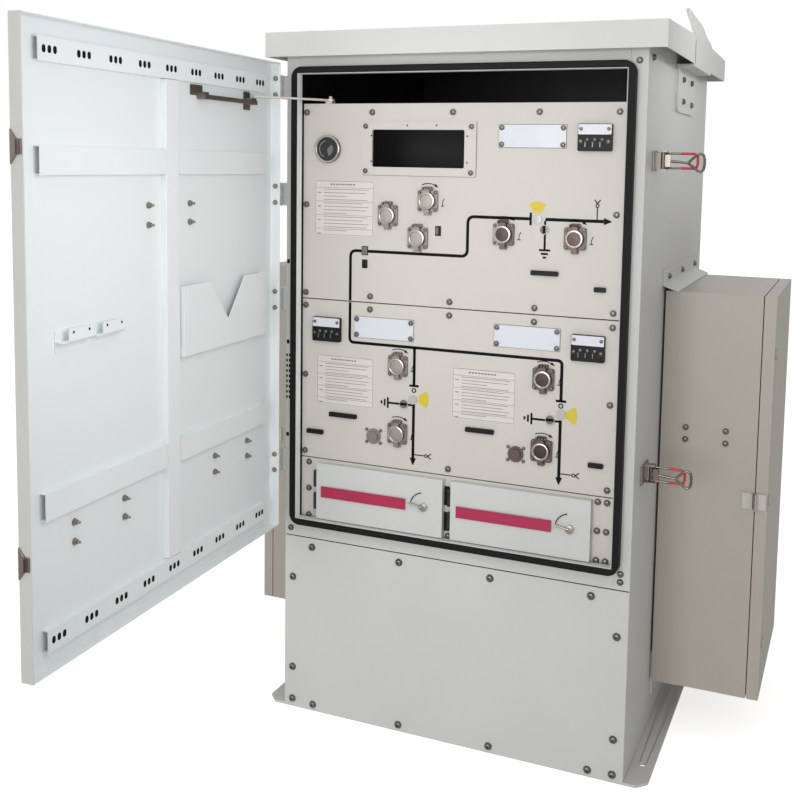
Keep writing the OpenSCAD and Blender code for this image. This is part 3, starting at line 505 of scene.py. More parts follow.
def pour(bm, part, place):
    """Moves a finished part into another mesh, at a place."""
    bmesh.ops.recalc_face_normals(part, faces=part.faces[:])
    bmesh.ops.transform(part, matrix=place, verts=part.verts[:])
    shell = bpy.data.meshes.new("shell")
    part.to_mesh(shell)
    part.free()
    bm.from_mesh(shell)
    bpy.data.meshes.remove(shell)


def stamp(bm, pattern, places):
    """Copies a pattern mesh to each place."""
    for place in places:
        copy = bmesh.new()
        copy.from_mesh(pattern)
        pour(bm, copy, place)


def pattern_of(build):
    """A mesh to stamp from: build draws it into an empty bmesh."""
    bm = bmesh.new()
    build(bm)
    bmesh.ops.remove_doubles(bm, verts=bm.verts[:], dist=SAME_PLACE)
    bmesh.ops.recalc_face_normals(bm, faces=bm.faces[:])
    mesh = bpy.data.meshes.new("pattern")
    bm.to_mesh(mesh)
    bm.free()
    return mesh


def piece(name, bm, material, body="cabinet"):
    """Turns a bmesh into a named piece that rides on a body."""
    bmesh.ops.remove_doubles(bm, verts=bm.verts[:], dist=SAME_PLACE)
    mesh = bpy.data.meshes.new(name)
    bm.to_mesh(mesh)
    bm.free()
    mesh.materials.append(material)
    mesh.polygons.foreach_set("use_smooth", [True] * len(mesh.polygons))
    mesh.set_sharp_from_angle(angle=math.radians(SMOOTH_DEG))
    obj = bpy.data.objects.new(name, mesh)
    bpy.context.scene.collection.objects.link(obj)
    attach(obj, body)
    print(f"{name}: {len(mesh.polygons)} faces on {body}")
    return obj


# %% [markdown]
# ## Bolts
#
# The sheets are held by stainless button-head bolts with a hexagon socket, on washers.
# A lathe profile gives washer, domed head and socket in one turn. Small pan-head screws
# hold the plates and sockets, and hexagon nuts sit on the door's welded studs.

# %% Bolt patterns
WASHER_MM = 1.5
NUT_R, NUT_TOP = 5.2, 5.6
STUD_R, STUD_TOP = 2.6, 12.6


def draw_button(head, rise, washer):
    """Profile of a washer with a domed head on it and a socket for the key."""
    r = head / 2
    key = r * 0.3
    dome = [(1, 0), (0.97, 0.35), (0.78, 0.82), (0.5, 1), (0.3, 1)]
    head_points = [(r * share, WASHER_MM + rise * up) for share, up in dome]
    well = WASHER_MM + rise * 0.4
    return [(washer / 2, 0), (washer / 2, WASHER_MM)] + head_points + [(key, well), (0.01, well)]


def draw_nut(bm):
    """A washer, a hexagon nut and the end of its stud."""
    washer_r, washer_top = NUT_R + 1, 1.2
    lathe(bm, [(washer_r, 0), (washer_r, washer_top), (0.01, washer_top)])
    nut = bmesh.new()
    middle = Matrix.Translation((0, 0, (washer_top + NUT_TOP) / 2 * MM))
    bmesh.ops.create_cone(nut, cap_ends=True, segments=6, radius1=NUT_R * MM, radius2=NUT_R * MM,
        depth=(NUT_TOP - washer_top) * MM, matrix=middle)
    pour(bm, nut, Matrix())
    lathe(bm, [(STUD_R, NUT_TOP), (STUD_R, STUD_TOP - 0.6), (STUD_R - 0.5, STUD_TOP),
        (0.01, STUD_TOP)], steps=12)


bolt_m10 = pattern_of(lambda bm: lathe(bm, draw_button(15, 5, 17)))
bolt_m8 = pattern_of(lambda bm: lathe(bm, draw_button(12.5, 4.5, 14)))
bolt_m6 = pattern_of(lambda bm: lathe(bm, draw_button(10, 3.4, 11.5), steps=16))
screw_m4 = pattern_of(lambda bm: lathe(bm, draw_button(7, 2.2, 7.6), steps=12))
stud_nut = pattern_of(draw_nut)

# %% Bolts on the cabinet
FRONT_Y = -385
BACK_Y = 385
PLINTH_ROWS = [(391, (-330, -112, 101, 321)), (16, (-325, -108, 106, 325))]
PLINTH_ENDS = [(-379, (314, 97, 20)), (377, (314, 94, 18))]
FRAME_BOLTS = [(382, 1475), (380, 447), (380, 430), (-385, 430)]
BACK_COLUMNS = (-370, -125, 125, 370)
BACK_ROWS = (20, 391, 440, 940, 1450)
cabinet_bolts = [on_front(x, z, FRONT_Y) for z, row in PLINTH_ROWS for x in row]
cabinet_bolts += [on_front(x, z, FRONT_Y) for x, column in PLINTH_ENDS for z in column]
cabinet_bolts += [on_back(x, z, BACK_Y) for x in BACK_COLUMNS for z in BACK_ROWS]
bm = bmesh.new()
stamp(bm, bolt_m10, cabinet_bolts)
stamp(bm, bolt_m8, [on_front(x, z, FRONT_Y) for x, z in FRAME_BOLTS])
piece("cabinet_bolts", bm, bolt_steel)

# %% Bolts on the sides
WALL_X = 400
LUG_X = 406
FLASHING_X = 403
LEFT_SET_BACK = 40
HASP_OUT = 16
EAVE_BOLT = (-346, 1484)
LUG_BOLTS = [(-20, 1466), (94, 1466), (-14, 1418), (100, 1416)]
FLASHING_BOLTS = [(-88, 1030), (88, 1030), (273, 1030)]
BOX_BOLTS = [(459, 702), (459, 675), (545, 702), (545, 675)]
BOX_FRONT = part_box("right_box_body")[0].y / MM + HASP_OUT
LEFT_BOX_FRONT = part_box("left_box_body")[0].y / MM + HASP_OUT
side_bolts = [on_right(y, z, LUG_X) for y, z in LUG_BOLTS] + [on_right(*EAVE_BOLT, WALL_X)]
side_bolts += [on_right(y, z, FLASHING_X) for y, z in FLASHING_BOLTS]
side_bolts += [on_left(y + LEFT_SET_BACK, z, -FLASHING_X) for y, z in FLASHING_BOLTS]
side_bolts += [on_front(x, z, BOX_FRONT) for x, z in BOX_BOLTS]
side_bolts += [on_front(-x, z, LEFT_BOX_FRONT) for x, z in BOX_BOLTS]
bm = bmesh.new()
stamp(bm, bolt_m8, side_bolts)
piece("side_bolts", bm, bolt_steel)

# %% Pale faces of the padlock tabs
HASP_Z = 556
HASP_MM = (21, 34, 1)
HASP_PROUD = 3
BODY_TAB_X, DOOR_TAB_X = 596, 625
for side, way, front in (("right", 1, BOX_FRONT), ("left", -1, LEFT_BOX_FRONT)):
    for body, x in (("cabinet", BODY_TAB_X), (f"{side}_cable_box_door", DOOR_TAB_X)):
        bm = bmesh.new()
        plate(bm, *HASP_MM, 1.5, on_front(way * x, HASP_Z, front - HASP_PROUD))
        piece(f"hasp_face_{body}_{side}", bm, hasp_paint, body)

# %% Bolts on the switchgear front
PANEL_COLUMNS = (-354, -194, -7, 181, 345)
PANEL_ROWS = (1377, 977, 948)
EDGE_BOLTS = [(x, z) for z in (1174, 790, 614) for x in (-354, 345)] + [(-3, 614)]
TEST_BOLTS = [(x, z) for x in (-343, 327, 346) for z in (588, 527, 465)] + [(0, 466)]
panel_bolts = [(x, z) for z in PANEL_ROWS for x in PANEL_COLUMNS] + EDGE_BOLTS + TEST_BOLTS
bm = bmesh.new()
stamp(bm, bolt_m8, [on_front(x, z, PANEL_Y) for x, z in panel_bolts])
piece("panel_bolts", bm, bolt_steel)

# %% Painted shadow in gaps
LUG_GAP_Y = -80.5
LUG_GAP_UP = 26
LUG_GAP_MM = (3.5, 49)
EDGE_GAP_MM = 4
SHADE_MM = 0.3
low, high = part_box("roof")
# Black strips where the lug meets the roof and along the panels' edges: painted shadow.
bm = bmesh.new()
plate(bm, *LUG_GAP_MM, SHADE_MM, 0, on_right(LUG_GAP_Y, low.z / MM + LUG_GAP_UP, high.x / MM))
low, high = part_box("upper_panel")
tall = (high.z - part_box("test_panel")[0].z) / MM
for x in (low.x / MM + EDGE_GAP_MM / 2, high.x / MM - EDGE_GAP_MM / 2):
    plate(bm, EDGE_GAP_MM, tall, SHADE_MM, 0, on_front(x, high.z / MM - tall / 2, PANEL_Y))
piece("gaps_painted_shadow", bm, black_film_and_painted_shade)

# %% Painted light on the inner sides of the sealing lip
GASKET_MM = 14
LIP_MM = 2
LIP_OUT = 18
LIP_LIGHT_FILM_MM = 0.2
low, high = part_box("door_gasket")
inset = GASKET_MM + LIP_MM
tall = (high.z - low.z) / MM - 2 * inset
middle = (FRONT_Y - LIP_OUT / 2, (high.z + low.z) / MM / 2)
# White plates on the lip's inner sides: painted light reflected from the white door.
bm = bmesh.new()
plate(bm, LIP_OUT, tall, LIP_LIGHT_FILM_MM, 0, on_right(*middle, low.x / MM + inset))
plate(bm, LIP_OUT, tall, LIP_LIGHT_FILM_MM, 0, on_left(*middle, high.x / MM - inset))
piece("lip_sides_painted_light", bm, door_white_and_lip_light)

# %% Vent holes in the left post, drawn in black film as painted shade
VENT_XS = (-397.5, -391)
VENT_ZS = [735 + 12 * k for k in range(9)]
POST_SLOTS = [(-395, z) for z in (1045, 862, 648)]
bm = bmesh.new()
for z in VENT_ZS:
    for x in VENT_XS:
        plate(bm, 4, 7, SHADE_MM, 1, on_front(x, z, FRONT_Y))
for x, z in POST_SLOTS:
    plate(bm, 7, 9, SHADE_MM, 1, on_front(x, z, FRONT_Y))
piece("post_vents_painted_shade", bm, black_film_and_painted_shade)

# %% [markdown]
# ## The mimic diagram
#
# The panels carry a one-line diagram of the switchgear, cut from black film: a bus bar that
# runs up into the breaker panel and along to three feeders, with contacts, earth signs,
# arrows and the forked sign for a cable test point. Each line is a tape along a path, and
# its corners are eased by short curves. An arc with an arrow beside a socket shows which way
# its key turns, and yellow fans show the swing of each switch.

# %% Mimic tapes
FILM_MM = 0.4
LINE_MM = 6.5
THIN_MM = 2.2
BEND_MM = 14
SIGN_MM = 5
BRANCH_MM = 4.5
MARK_MM = 1.6
BUS_X, BUS_Z = -243, 872
SEAM_Z = (961, 965)
RISER_X, RISER_Z = 31, 1076
UPPER_Z = 1160
BREAKER_X, EARTH_X, TEST_X, ARROW_X = 168, 199, 306, 320
UPPER_EARTH_Z = 1097
FEEDERS = (-86, 243)
CONTACT_Z, RING_Z, SWITCH_Z, EARTH_Z, TEST_Z, ARROW_Z = 788, 778, 748, 745, 636, 628
EARTH_REACH = 62
SOCKETS = [(-153, 1156), (-60, 1190), (-82, 1110), (111, 1126), (263, 1123), (-124, 829),
    (-123, 679), (205, 831), (205, 680)]
TURNED_SOCKETS = [SOCKETS[1]] + SOCKETS[3:]


def eased(path, radius=BEND_MM, steps=5):
    """The path with each corner replaced by a short curve."""
    points = [Vector(p) for p in path]
    out = [points[0]]
    for before, corner, after in zip(points, points[1:], points[2:]):
        a = corner + (before - corner).normalized() * radius
        b = corner + (after - corner).normalized() * radius
        for k in range(steps + 1):
            t = k / steps
            out.append((1 - t) ** 2 * a + 2 * t * (1 - t) * corner + t * t * b)
    return [tuple(p) for p in out + [points[-1]]]


def draw_line(bm, path, width=LINE_MM):
    """A tape of film on the panels."""
    tape(bm, path, width, FILM_MM, on_front(0, 0, PANEL_Y))


def draw_earth(bm, x, z, step):
    """Three bars of the earth sign, each shorter, along a step direction."""
    for k, length in enumerate((24, 15, 7)):
        cx, cz = x + step[0] * 7.5 * k, z + step[1] * 7.5 * k
        across = (abs(step[1]) * length / 2, abs(step[0]) * length / 2)
        ends = [(cx + way * across[0], cz + way * across[1]) for way in (-1, 1)]
        draw_line(bm, ends, 4.2)


def draw_arrow(bm, x, z, step, width=13.5, run=3):
    """An arrow head: five short tapes, each narrower."""
    for k in range(5):
        near = (x + step[0] * run * k, z + step[1] * run * k)
        far = (near[0] + step[0] * run, near[1] + step[1] * run)
        draw_line(bm, [near, far], width * (1 - 0.19 * k))


def draw_test_point(bm, x, z, step):
    """A thin lead with a small ring and a fork."""
    def ahead(far, aside=0):
        return (x + step[0] * far + step[1] * aside, z + step[1] * far + step[0] * aside)
    draw_line(bm, [(x, z), ahead(27)], THIN_MM)
    sector(bm, 2.2, 4.2, 0, 360, FILM_MM, on_front(*ahead(31), PANEL_Y), steps=14)
    for aside in (-6, 6):
        draw_line(bm, [ahead(35), ahead(43, aside)], THIN_MM)


def draw_turn(bm, x, z):
    """The arc and arrow above a socket, and the key sign beside it."""
    sector(bm, 36, 37.8, 66, 48, FILM_MM, on_front(x, z, PANEL_Y))
    draw_arrow(bm, x + 15, z + 33.7, (0.87, -0.5), 6, 1.7)
    draw_line(bm, [(x + 33, z - 9), (x + 33, z - 2), (x + 37, z + 6)], MARK_MM)
    draw_line(bm, [(x + 29, z - 10), (x + 37, z - 10)], MARK_MM)


bm = bmesh.new()
draw_line(bm, eased([(BUS_X, SEAM_Z[1]), (BUS_X, RISER_Z), (RISER_X, RISER_Z), (RISER_X, UPPER_Z),
    (BREAKER_X - 2, UPPER_Z)]))
draw_line(bm, [(BREAKER_X, UPPER_Z - 13), (BREAKER_X, UPPER_Z + 13)], SIGN_MM)
draw_line(bm, [(EARTH_X, UPPER_Z), (ARROW_X, UPPER_Z)])
draw_arrow(bm, ARROW_X, UPPER_Z, (1, 0))
draw_line(bm, [(EARTH_X, UPPER_Z - 3), (EARTH_X, UPPER_EARTH_Z + 1)], BRANCH_MM)
draw_earth(bm, EARTH_X, UPPER_EARTH_Z, (0, -1))
draw_test_point(bm, TEST_X, UPPER_Z, (0, 1))
draw_line(bm, eased([(BUS_X, SEAM_Z[0]), (BUS_X, BUS_Z), (FEEDERS[1], BUS_Z),
    (FEEDERS[1], CONTACT_Z)], 10))
draw_line(bm, [(FEEDERS[0], BUS_Z), (FEEDERS[0], CONTACT_Z)])
for x in FEEDERS:
    draw_line(bm, [(x - 11, CONTACT_Z), (x + 11, CONTACT_Z)], SIGN_MM)
    sector(bm, 3, 5.5, 0, 360, FILM_MM, on_front(x, RING_Z, PANEL_Y), steps=16)
    draw_line(bm, [(x, SWITCH_Z), (x, ARROW_Z)])
    draw_arrow(bm, x, ARROW_Z, (0, -1))
    draw_line(bm, [(x, EARTH_Z), (x - EARTH_REACH, EARTH_Z)], BRANCH_MM)
    draw_earth(bm, x - EARTH_REACH, EARTH_Z, (-1, 0))
    draw_test_point(bm, x, TEST_Z, (1, 0))
for x, z in TURNED_SOCKETS:
    draw_turn(bm, x, z)
piece("mimic_diagram", bm, black_film_and_painted_shade)

# %% Switch fans and flags
FAN = (13, 36)
FAN_HALF = 31
BREAKER_FAN_X = 182
FEEDER_FAN_Z = 760
BEZELS = [(-36, 1127, 13, 21), (-208, 1048, 13, 19), (-208, 1077, 15, 20)]
FLAGS = [(-38, 1127, 6, 15), (-208, 1077, 12, 17)]
bm = bmesh.new()
sector(bm, *FAN, 90 - FAN_HALF, 2 * FAN_HALF, FILM_MM, on_front(BREAKER_FAN_X, UPPER_Z, PANEL_Y))
for x in FEEDERS:
    sector(bm, *FAN, -FAN_HALF, 2 * FAN_HALF, FILM_MM, on_front(x - 1, FEEDER_FAN_Z, PANEL_Y))
piece("switch_fans", bm, yellow_film)

bm = bmesh.new()
for x, z, w, h in BEZELS:
    plate(bm, w, h, 1.2, 1, on_front(x, z, PANEL_Y))
piece("indicator_bezels", bm, black_plastic)
bm = bmesh.new()
for x, z, w, h in FLAGS:
    plate(bm, w, h, 1.6, 1, on_front(x, z, PANEL_Y))
piece("indicator_flags", bm, lamp_lens)

# %% [markdown]
# ## Plates, labels and indicators
#
# Three blank laminate plates wait for the feeder names. The procedure labels are pale film
# with a fine border, a heading bar and ruled lines in groups, with no words. The voltage
# indicators are black modules with a pale strip above three small lamps.

# %% Screws of plates and sockets
PLATES = [(167, 1328), (-160, 908), (166, 914)]
INDICATORS = [(298, 1326), (-298, 897), (297, 903)]
PLUGS = [(-181, 666), (149, 666)]
WINDOW_SCREWS = [(x, z) for x in (-208, 36) for z in (1251, 1347)]
CORNERS = [(i, k) for i in (-1, 1) for k in (-1, 1)]
PLATE_FACE, WINDOW_FACE, FLANGE_FACE, INDICATOR_FACE = [PANEL_Y - rise for rise in (2, 3, 5, 9)]
small = [on_front(x + i * 18, z + k * 18, FLANGE_FACE) for x, z in SOCKETS for i, k in CORNERS]
small += [on_front(x + i * 17, z + k * 14, PANEL_Y) for x, z in PLUGS for i, k in CORNERS]
small += [on_front(x + i * 28, z + k, INDICATOR_FACE)
    for x, z in INDICATORS for i in (-1, 1) for k in (17, -8)]
medium = [on_front(x + i * 65, z + k * 17, PLATE_FACE) for x, z in PLATES for i, k in CORNERS]
medium += [on_front(x, z, WINDOW_FACE) for x, z in WINDOW_SCREWS]
bm = bmesh.new()
stamp(bm, screw_m4, small)
stamp(bm, bolt_m6, medium)
piece("small_screws", bm, bolt_steel)

# %% Painted shadow lines round the plates, and the window's rivets
PLATE_SIZE = (142, 46)
SHADOW_LINE_MM = 1.2
RIVETS = [(-110, 1349), (-43, 1349)] + [(x, z) for x in (-194, 27) for z in (1327, 1272)]
w, h = [(side + SHADOW_LINE_MM) / 2 for side in PLATE_SIZE]
bm = bmesh.new()
for x, z in PLATES:
    for path in ([(-w, -h), (w, -h)], [(-w, h), (w, h)], [(-w, -h), (-w, h)], [(w, -h), (w, h)]):
        tape(bm, path, SHADOW_LINE_MM, SHADE_MM, on_front(x, z, PANEL_Y))
piece("plate_painted_shadow_lines", bm, ink_and_painted_shadow)

# A grey line round the window plate: painted shadow.
low, high = [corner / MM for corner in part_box("window_frame")]
west, east, base, top = low.x - 0.4, high.x + 0.4, low.z - 0.4, high.z + 0.4
bm = bmesh.new()
tape(bm, eased([(west, top), (west, base), (east, base), (east, top)], 5), 1, SHADE_MM,
    on_front(0, 0, PANEL_Y))
piece("window_painted_shadow_line", bm, ink_and_painted_shadow)

bm = bmesh.new()
for x, z in RIVETS:
    lathe(bm, [(1.8, 0), (1.8, 0.4), (0.01, 0.6)], 10, on_front(x, z, WINDOW_FACE))
piece("window_rivets", bm, black_film_and_painted_shade)

# %% Socket hinges, rims and caps
CAP_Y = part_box("socket_caps")[0].y / MM
LEAF_FACE = PANEL_Y - 6
PIN_Y = PANEL_Y - 9
PIN_UP = 26
RIM = [(18.2, -1.5), (18.2, 0.2), (17.4, 0.7), (15.2, 0.7), (14.2, 0), (14.2, -1.5)]
CAP = [(14, -1.8), (13.6, -0.9), (0.01, -0.6)]
bm, rims, pale_caps, reflection_caps = bmesh.new(), bmesh.new(), bmesh.new(), bmesh.new()
for x, z in SOCKETS:
    here = on_front(x, z, CAP_Y)
    for k in (-9, -3, 3, 9):
        wire(bm, [(x + k - 2, PIN_Y, z + PIN_UP), (x + k + 2, PIN_Y, z + PIN_UP)], 7)
    plate(bm, 14, 14, 6, 3, on_front(x, z + 18, LEAF_FACE))
    plate(bm, 12, 10, 5, 3, on_front(x, z - 22, LEAF_FACE))
    lathe(rims, RIM, 28, here)
    # Caps on the right take the painted dark reflection.
    lathe(reflection_caps if x > REFLECTION_FROM_X else pale_caps, CAP, 28, here)
piece("socket_hinges", bm, socket_steel_and_reflection)
piece("socket_rims", rims, rim_steel)
piece("socket_caps_pale", pale_caps, cap_steel)
piece("socket_caps_painted_reflection", reflection_caps, reflection_cap)

# %% Labels
LABELS = [(-260, 1168, 145, 122), (-254, 783, 142, 112), (74, 783, 142, 111)]
HAIR_MM = 0.7
ROW_MM = 1.1
ROW_LENGTHS = (0.76, 0.72, 0.4, 0.74, 0.66)
ROWS = 13
ROWS_PER_STEP = 4
HEAD_MARKS = 9
HEAD_MM = 20
MARGIN = 2
INK_AND_SHADE_MM = 0.2
film, ink = bmesh.new(), bmesh.new()
for x, z, w, h in LABELS:
    plate(film, w, h, FILM_MM, 6, on_front(x, z, PANEL_Y))
    lift = PANEL_Y - FILM_MM
    east, top = w / 2 - MARGIN, h / 2 - MARGIN
    border = [(9 - w / 2, top), (east, top), (east, -top), (-east, -top), (-east, top),
        (w / 2 - 9, top)]
    tape(ink, eased(border, 5), HAIR_MM, INK_AND_SHADE_MM, on_front(x, z, lift))
    for k in range(HEAD_MARKS):
        plate(ink, 5, 3, INK_AND_SHADE_MM, 0, on_front(x - w * 0.22 + k * 7, z + h / 2 - 9, lift))
    pitch = (h - HEAD_MM - 2 * MARGIN) / ROWS
    for k in range(ROWS):
        row_z = z + h / 2 - HEAD_MM - k * pitch
        length = w * ROW_LENGTHS[k % len(ROW_LENGTHS)]
        if k % ROWS_PER_STEP == 0:
            plate(ink, w - 6, HAIR_MM, INK_AND_SHADE_MM, 0, on_front(x, row_z + pitch / 2, lift))
            plate(ink, 8, 1.8, INK_AND_SHADE_MM, 0, on_front(x - w / 2 + 11, row_z - pitch, lift))
        plate(ink, length, ROW_MM, INK_AND_SHADE_MM, 0, on_front(x - w / 2 + 22 + length / 2, row_z, lift))
piece("label_films", film, label_film)
piece("label_rules", ink, ink_and_painted_shadow)

# %% Voltage indicator faces
LAMP_PITCH = 15
LAMP = [(3.2, 0), (3.2, 1.2), (2.2, 2.2), (0.01, 2.6)]
strip, lamps = bmesh.new(), bmesh.new()
for x, z in INDICATORS:
    plate(strip, 67, 20, 0.5, 2, on_front(x, z + 16, INDICATOR_FACE))
    for lamp_x in (x - LAMP_PITCH, x, x + LAMP_PITCH):
        lathe(lamps, LAMP, 12, on_front(lamp_x, z - 4, INDICATOR_FACE))
        plate(lamps, 2, 10, 0.4, 0, on_front(lamp_x - 4, z - 14, INDICATOR_FACE))
piece("indicator_strips", strip, white_laminate)
piece("indicator_lamps", lamps, lamp_lens)

# %% Gauge
GAUGE = (-299, 1297)
GAUGE_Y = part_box("pressure_gauge")[0].y / MM
dial = on_front(*GAUGE, GAUGE_Y)
bm = bmesh.new()
lathe(bm, [(25.5, -0.3), (25, 0.3), (0.01, 0.5)], 36, dial)
piece("gauge_glass", bm, dial_glass)
bm = bmesh.new()
lathe(bm, [(29.8, -4), (29.8, 0.4), (28.8, 1.2), (26.6, 1.2), (25.4, 0)], 36, dial)
sector(bm, 17.4, 18.6, 100, 150, 0.8, dial, steps=24)
piece("gauge_rim", bm, rim_steel)
bm = bmesh.new()
sector(bm, 2, 15, -75, 115, 0.8, dial, steps=24)
piece("gauge_scale", bm, lamp_lens)

# %% Dial faces
EARTH_DIALS = [(198, 1139, (0, 8)), (-109, 746, (8, 0)), (221, 747, (8, 0))]
DIAL_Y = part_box("position_dials")[0].y / MM
faces, bars = bmesh.new(), bmesh.new()
for x, z, half in EARTH_DIALS:
    lathe(faces, [(9.2, -0.2), (9, 0.3), (0.01, 0.5)], 24, on_front(x, z, DIAL_Y))
    tape(bars, [(-half[0], -half[1]), half], 6, FILM_MM, on_front(x, z, DIAL_Y - 0.4))
piece("earth_dial_faces", faces, lamp_lens)
piece("earth_dial_bars", bars, black_film_and_painted_shade)

# %% [markdown]
# ## The test covers
#
# Two hinged covers close the cable test compartment. Each has a plain crimson band, a key
# lock with its small lever and a printed arc. These pieces ride on their own cover.

# %% Cover hinge leaves
LEAVES = [(-4, 555), (-4, 498)]
bm = bmesh.new()
for x, z in LEAVES:
    plate(bm, 13, 42, 1.2, 1, on_front(x, z, PANEL_Y))
piece("hinge_leaves", bm, black_plastic)

# %% Bands and locks
COVERS = [("left_test_cover", -199, 208, -52), ("right_test_cover", 129, 211, 273.5)]
BAND_Z = 528
BAND_MM = 25
LOCK = [(9, 3), (9, 4), (6, 5), (3, 5), (3, 4), (0.01, 4)]
LEVER_Y = COVER_Y - 5
for body, middle, length, lock_x in COVERS:
    lock = on_front(lock_x, BAND_Z, COVER_Y)
    bm = bmesh.new()
    plate(bm, length, BAND_MM, FILM_MM, 0, on_front(middle, BAND_Z, COVER_Y))
    piece(f"{body}_band", bm, crimson_film, body)
    bm = bmesh.new()
    lathe(bm, LOCK, place=lock)
    wire(bm, [(lock_x, LEVER_Y, BAND_Z), (lock_x - 34, LEVER_Y, BAND_Z + 6)], 4.5)
    piece(f"{body}_lock", bm, cap_steel, body)
    bm = bmesh.new()
    sector(bm, 30, 32, 100, 65, FILM_MM, lock)
    piece(f"{body}_arc", bm, black_film_and_painted_shade, body)

# %% [markdown]
# ## The door's inside
#
# Welded studs with nuts stand on the sheet in pairs, and two more at each hinge. Two bent
# brackets hold the operating handle: a shelf leaves the foot plate, and a lip rises from it.
# The stay runs above a strip on two posts. The rails' slots and the brackets' holes are
# filled with black film as painted shade, so that they read as holes. All ride on the door.

# %% Door studs
STUDS = [(465, 1184), (465, 1148), (330, 1184), (330, 1148)]
STUDS += [(s, z) for s in (682, 545, 241, 110) for z in (660, 626)]
HINGE_ZS = (585, 959, 1195, 1432)
HINGE_BOLT_UP = 18
hinge_bolts = [on_hinge_flange(z + k) for z in HINGE_ZS for k in (-HINGE_BOLT_UP, HINGE_BOLT_UP)]
bm = bmesh.new()
stamp(bm, stud_nut, [on_door(s, z) for s, z in STUDS])
stamp(bm, bolt_m6, hinge_bolts)
piece("door_studs", bm, cap_steel, "front_door")

# %% Handle brackets
BRACKETS = (686, 599)
BRACKET_MM = (76, 40, 18)
BRACKET_LIP = (60, 22)
LIP_SHIFT = -8
SHELF_UP = 18
HOLE_UP = 34
SHEET_MM = 2
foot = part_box("handle_brackets")[0].z / MM
width, height, depth = BRACKET_MM
lip_z = foot + SHELF_UP + BRACKET_LIP[1] / 2
bm, holes = bmesh.new(), bmesh.new()
for s in BRACKETS:
    plate(bm, width, height, SHEET_MM, 5, on_door(s, foot + height / 2))
    shelf = facing((1, 0, 0), (0, 1, 0),
        (DOOR_EDGE_X + s, DOOR_FLOOR_Y + depth / 2, foot + SHELF_UP))
    plate(bm, width, depth, SHEET_MM, 1, door_swing @ shelf)
    lip_s = s + LIP_SHIFT
    plate(bm, *BRACKET_LIP, SHEET_MM, 1.5, on_door(lip_s, lip_z, depth - SHEET_MM))
    # Black dots for the bracket holes: painted shade.
    for k in (-20, 20):
        plate(holes, 4.6, 4.6, INK_AND_SHADE_MM, 2.2, on_door(lip_s + k, foot + HOLE_UP, depth))
brackets = piece("bent_handle_brackets", bm, door_white_and_lip_light, "front_door")
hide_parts("handle_brackets")
piece("bracket_holes_painted_shade", holes, black_film_and_painted_shade, "front_door")

# %% Stay strip
STRIP_S = (99, 303)
STRIP_DEPTH = 17
POST_MM = 18
stay_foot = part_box("stay_channel")[0].z / MM
bm = bmesh.new()
strip_place = on_door(sum(STRIP_S) / 2, stay_foot + 15.5, STRIP_DEPTH)
plate(bm, STRIP_S[1] - STRIP_S[0], 9, 3, 1, strip_place)
plate(bm, 26, 38, SHEET_MM, 2, on_door(STRIP_S[0] + 13, stay_foot + 19))
plate(bm, 42, 20, SHEET_MM, 2, on_door(STRIP_S[1] + 3, stay_foot + 28))
for s in (STRIP_S[0] + POST_MM / 2, STRIP_S[1] - POST_MM / 2):
    plate(bm, POST_MM, 14, STRIP_DEPTH, 1, on_door(s, stay_foot + 18))
strip = piece("stay_strip", bm, keeper_steel, "front_door")
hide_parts("stay_channel")

# %% Rail slots filled with black film as painted shade
RAIL_MM = 38
RAIL_DEPTH = 12
SLOT_MM = (8.4, 12.4)
SLOT_GROUPS = [74 + 83 * k for k in range(9)]
SLOT_PITCH = 13
low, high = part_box("door_rails")
bm = bmesh.new()
for z in (low.z / MM + RAIL_MM / 2, high.z / MM - RAIL_MM / 2):
    for s in SLOT_GROUPS:
        for k in (-SLOT_PITCH, 0, SLOT_PITCH):
            plate(bm, *SLOT_MM, INK_AND_SHADE_MM, 4.1, on_door(s + k, z, RAIL_DEPTH))
piece("rail_slots_painted_shade", bm, black_film_and_painted_shade, "front_door")

# %% [markdown]
# ## The toggle latches
#
# Each latch is a bent-wire lever with red dipped tips and a steel bow that hooks over the
# door's keeper. The wire is swept along its own path, so the bends stay round.

# %% Latches
ARM_Z = 14.7
ARM_MM = 4.6
ROD_MM = 5.6
BOW = [(3, 0), (34, -2), (50, -4), (58, 4), (67, 12), (75, 15), (81, 12), (83, 4), (83, -8),
    (81, -17), (76, -21), (70, -19), (60, -11), (52, -5)]
BOW_Y = -4
HALF_GRIP = [(36, ARM_Z), (62, ARM_Z), (67, ARM_Z - 3), (69, ARM_Z - 8)]
PIVOT_PIN = [(0.01, -16.6), (5, -16.6), (5, 16.6), (0.01, 16.6)]
bow = [(x, BOW_Y, z) for x, z in BOW]
grip = [(x, 0, z) for x, z in HALF_GRIP] + [(x, 0, -z) for x, z in reversed(HALF_GRIP)]
for name, body in (("upper_latch_lever", "upper_latch"), ("lower_latch_lever", "lower_latch")):
    pivot = Vector(joints[body + "_pivot"]["pos_m"])
    here = Matrix.Translation(pivot)
    bm = bmesh.new()
    lathe(bm, PIVOT_PIN, place=here)
    for z in (-ARM_Z, ARM_Z):
        wire(bm, [(0, 0, z), (38, 0, z)], ARM_MM, here)
    wire(bm, bow, ROD_MM, here)
    plate(bm, 11, 24, 9, 2, here @ facing((1, 0, 0), (0, 0, 1), (10, 2, 0)))
    lever = piece(name + "_wire", bm, latch_steel, body)
    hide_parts(name)
    bm = bmesh.new()
    wire(bm, grip, ROD_MM, here)
    piece(name + "_grip", bm, red_dip, body)

# %% [markdown]
# ## Studio
#
# A lamp at the right side of the opening shines across it into the open door, and one above
# throws soft shadows down. Both leave the right wall in half shade. A far, large lamp evens
# the front, and a narrow one catches the roof's right edge. The floor and the world look
# white to the camera and in reflections, and the floor keeps the contact shadow.

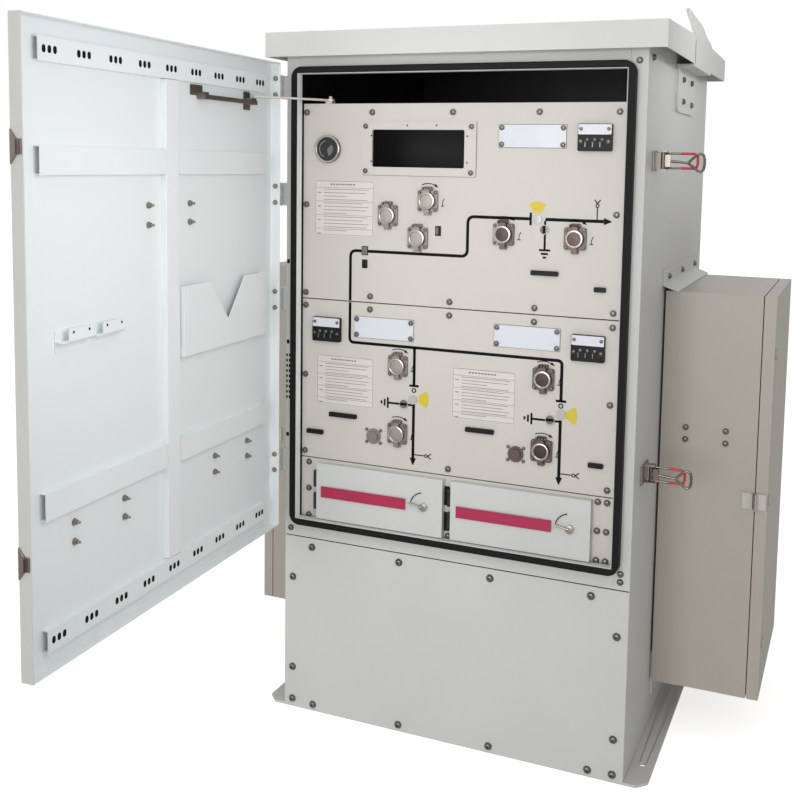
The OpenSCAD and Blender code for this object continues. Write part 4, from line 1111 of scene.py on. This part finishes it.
# %% Floor
FLOOR_HALF = 30
FLOOR_GLOW = 0.65
bm = bmesh.new()
bmesh.ops.create_grid(bm, x_segments=1, y_segments=1, size=FLOOR_HALF)
mesh = bpy.data.meshes.new("floor")
bm.to_mesh(mesh)
bm.free()
floor = bpy.data.objects.new("floor", mesh)
bpy.context.scene.collection.objects.link(floor)
pale = bpy.data.materials.new("pale_floor")
pale.use_nodes = True
tree = pale.node_tree
tree.nodes.clear()
matte = add(tree, "ShaderNodeBsdfDiffuse", {"Color": linear("#f4f4f2")})
glow = add(tree, "ShaderNodeEmission", {"Color": (1, 1, 1, 1), "Strength": FLOOR_GLOW})
ray = add(tree, "ShaderNodeLightPath")
lit = add(tree, "ShaderNodeAddShader", {0: matte.outputs[0], 1: glow.outputs[0]})
shown = add(tree, "ShaderNodeMixShader", {0: ray.outputs["Is Camera Ray"], 1: matte.outputs[0],
    2: lit.outputs[0]})
add(tree, "ShaderNodeOutputMaterial", {"Surface": shown.outputs[0]})
mesh.materials.append(pale)

# %% World and lamps
AMBIENT = 0.49
world = bpy.data.worlds.new("studio")
bpy.context.scene.world = world
world.use_nodes = True
tree = world.node_tree
tree.nodes.clear()
ray = add(tree, "ShaderNodeLightPath")
seen = combine(tree, "MAXIMUM", ray.outputs["Is Camera Ray"], ray.outputs["Is Glossy Ray"])
seen = combine(tree, "MAXIMUM", seen, ray.outputs["Is Transmission Ray"])
glow = add(tree, "ShaderNodeMapRange", {"Value": seen, "To Min": AMBIENT, "To Max": 1.0})
sky = add(tree, "ShaderNodeBackground", {"Color": (1, 1, 1, 1), "Strength": glow.outputs[0]})
add(tree, "ShaderNodeOutputWorld", {"Surface": sky.outputs[0]})


def soft_lamp(name, at, target, size, power, spread=180):
    """A square lamp that looks at a target, with its spread in degrees."""
    lamp = bpy.data.lights.new(name, "AREA")
    lamp.spread = math.radians(spread)
    lamp.size = size
    lamp.energy = power
    obj = bpy.data.objects.new(name, lamp)
    bpy.context.scene.collection.objects.link(obj)
    obj.location = at
    obj.rotation_euler = (Vector(target) - Vector(at)).to_track_quat("-Z", "Y").to_euler()


soft_lamp("door_fill", (0.38, -1.15, 1.3), (-0.43, -0.85, 1.05), 0.6, 2.2, spread=140)
soft_lamp("key", (0.1, -1.7, 2.3), (-0.1, -0.5, 0.9), 0.5, 2)
soft_lamp("front_window", (-0.4, -6.5, 1.4), (0, -0.4, 0.8), 2.5, 108)
soft_lamp("roof_edge", (1.7, -0.9, 1.9), (0.44, -0.1, 1.6), 0.3, 0.26, spread=26)
bpy.context.scene.view_settings.view_transform = "Standard"
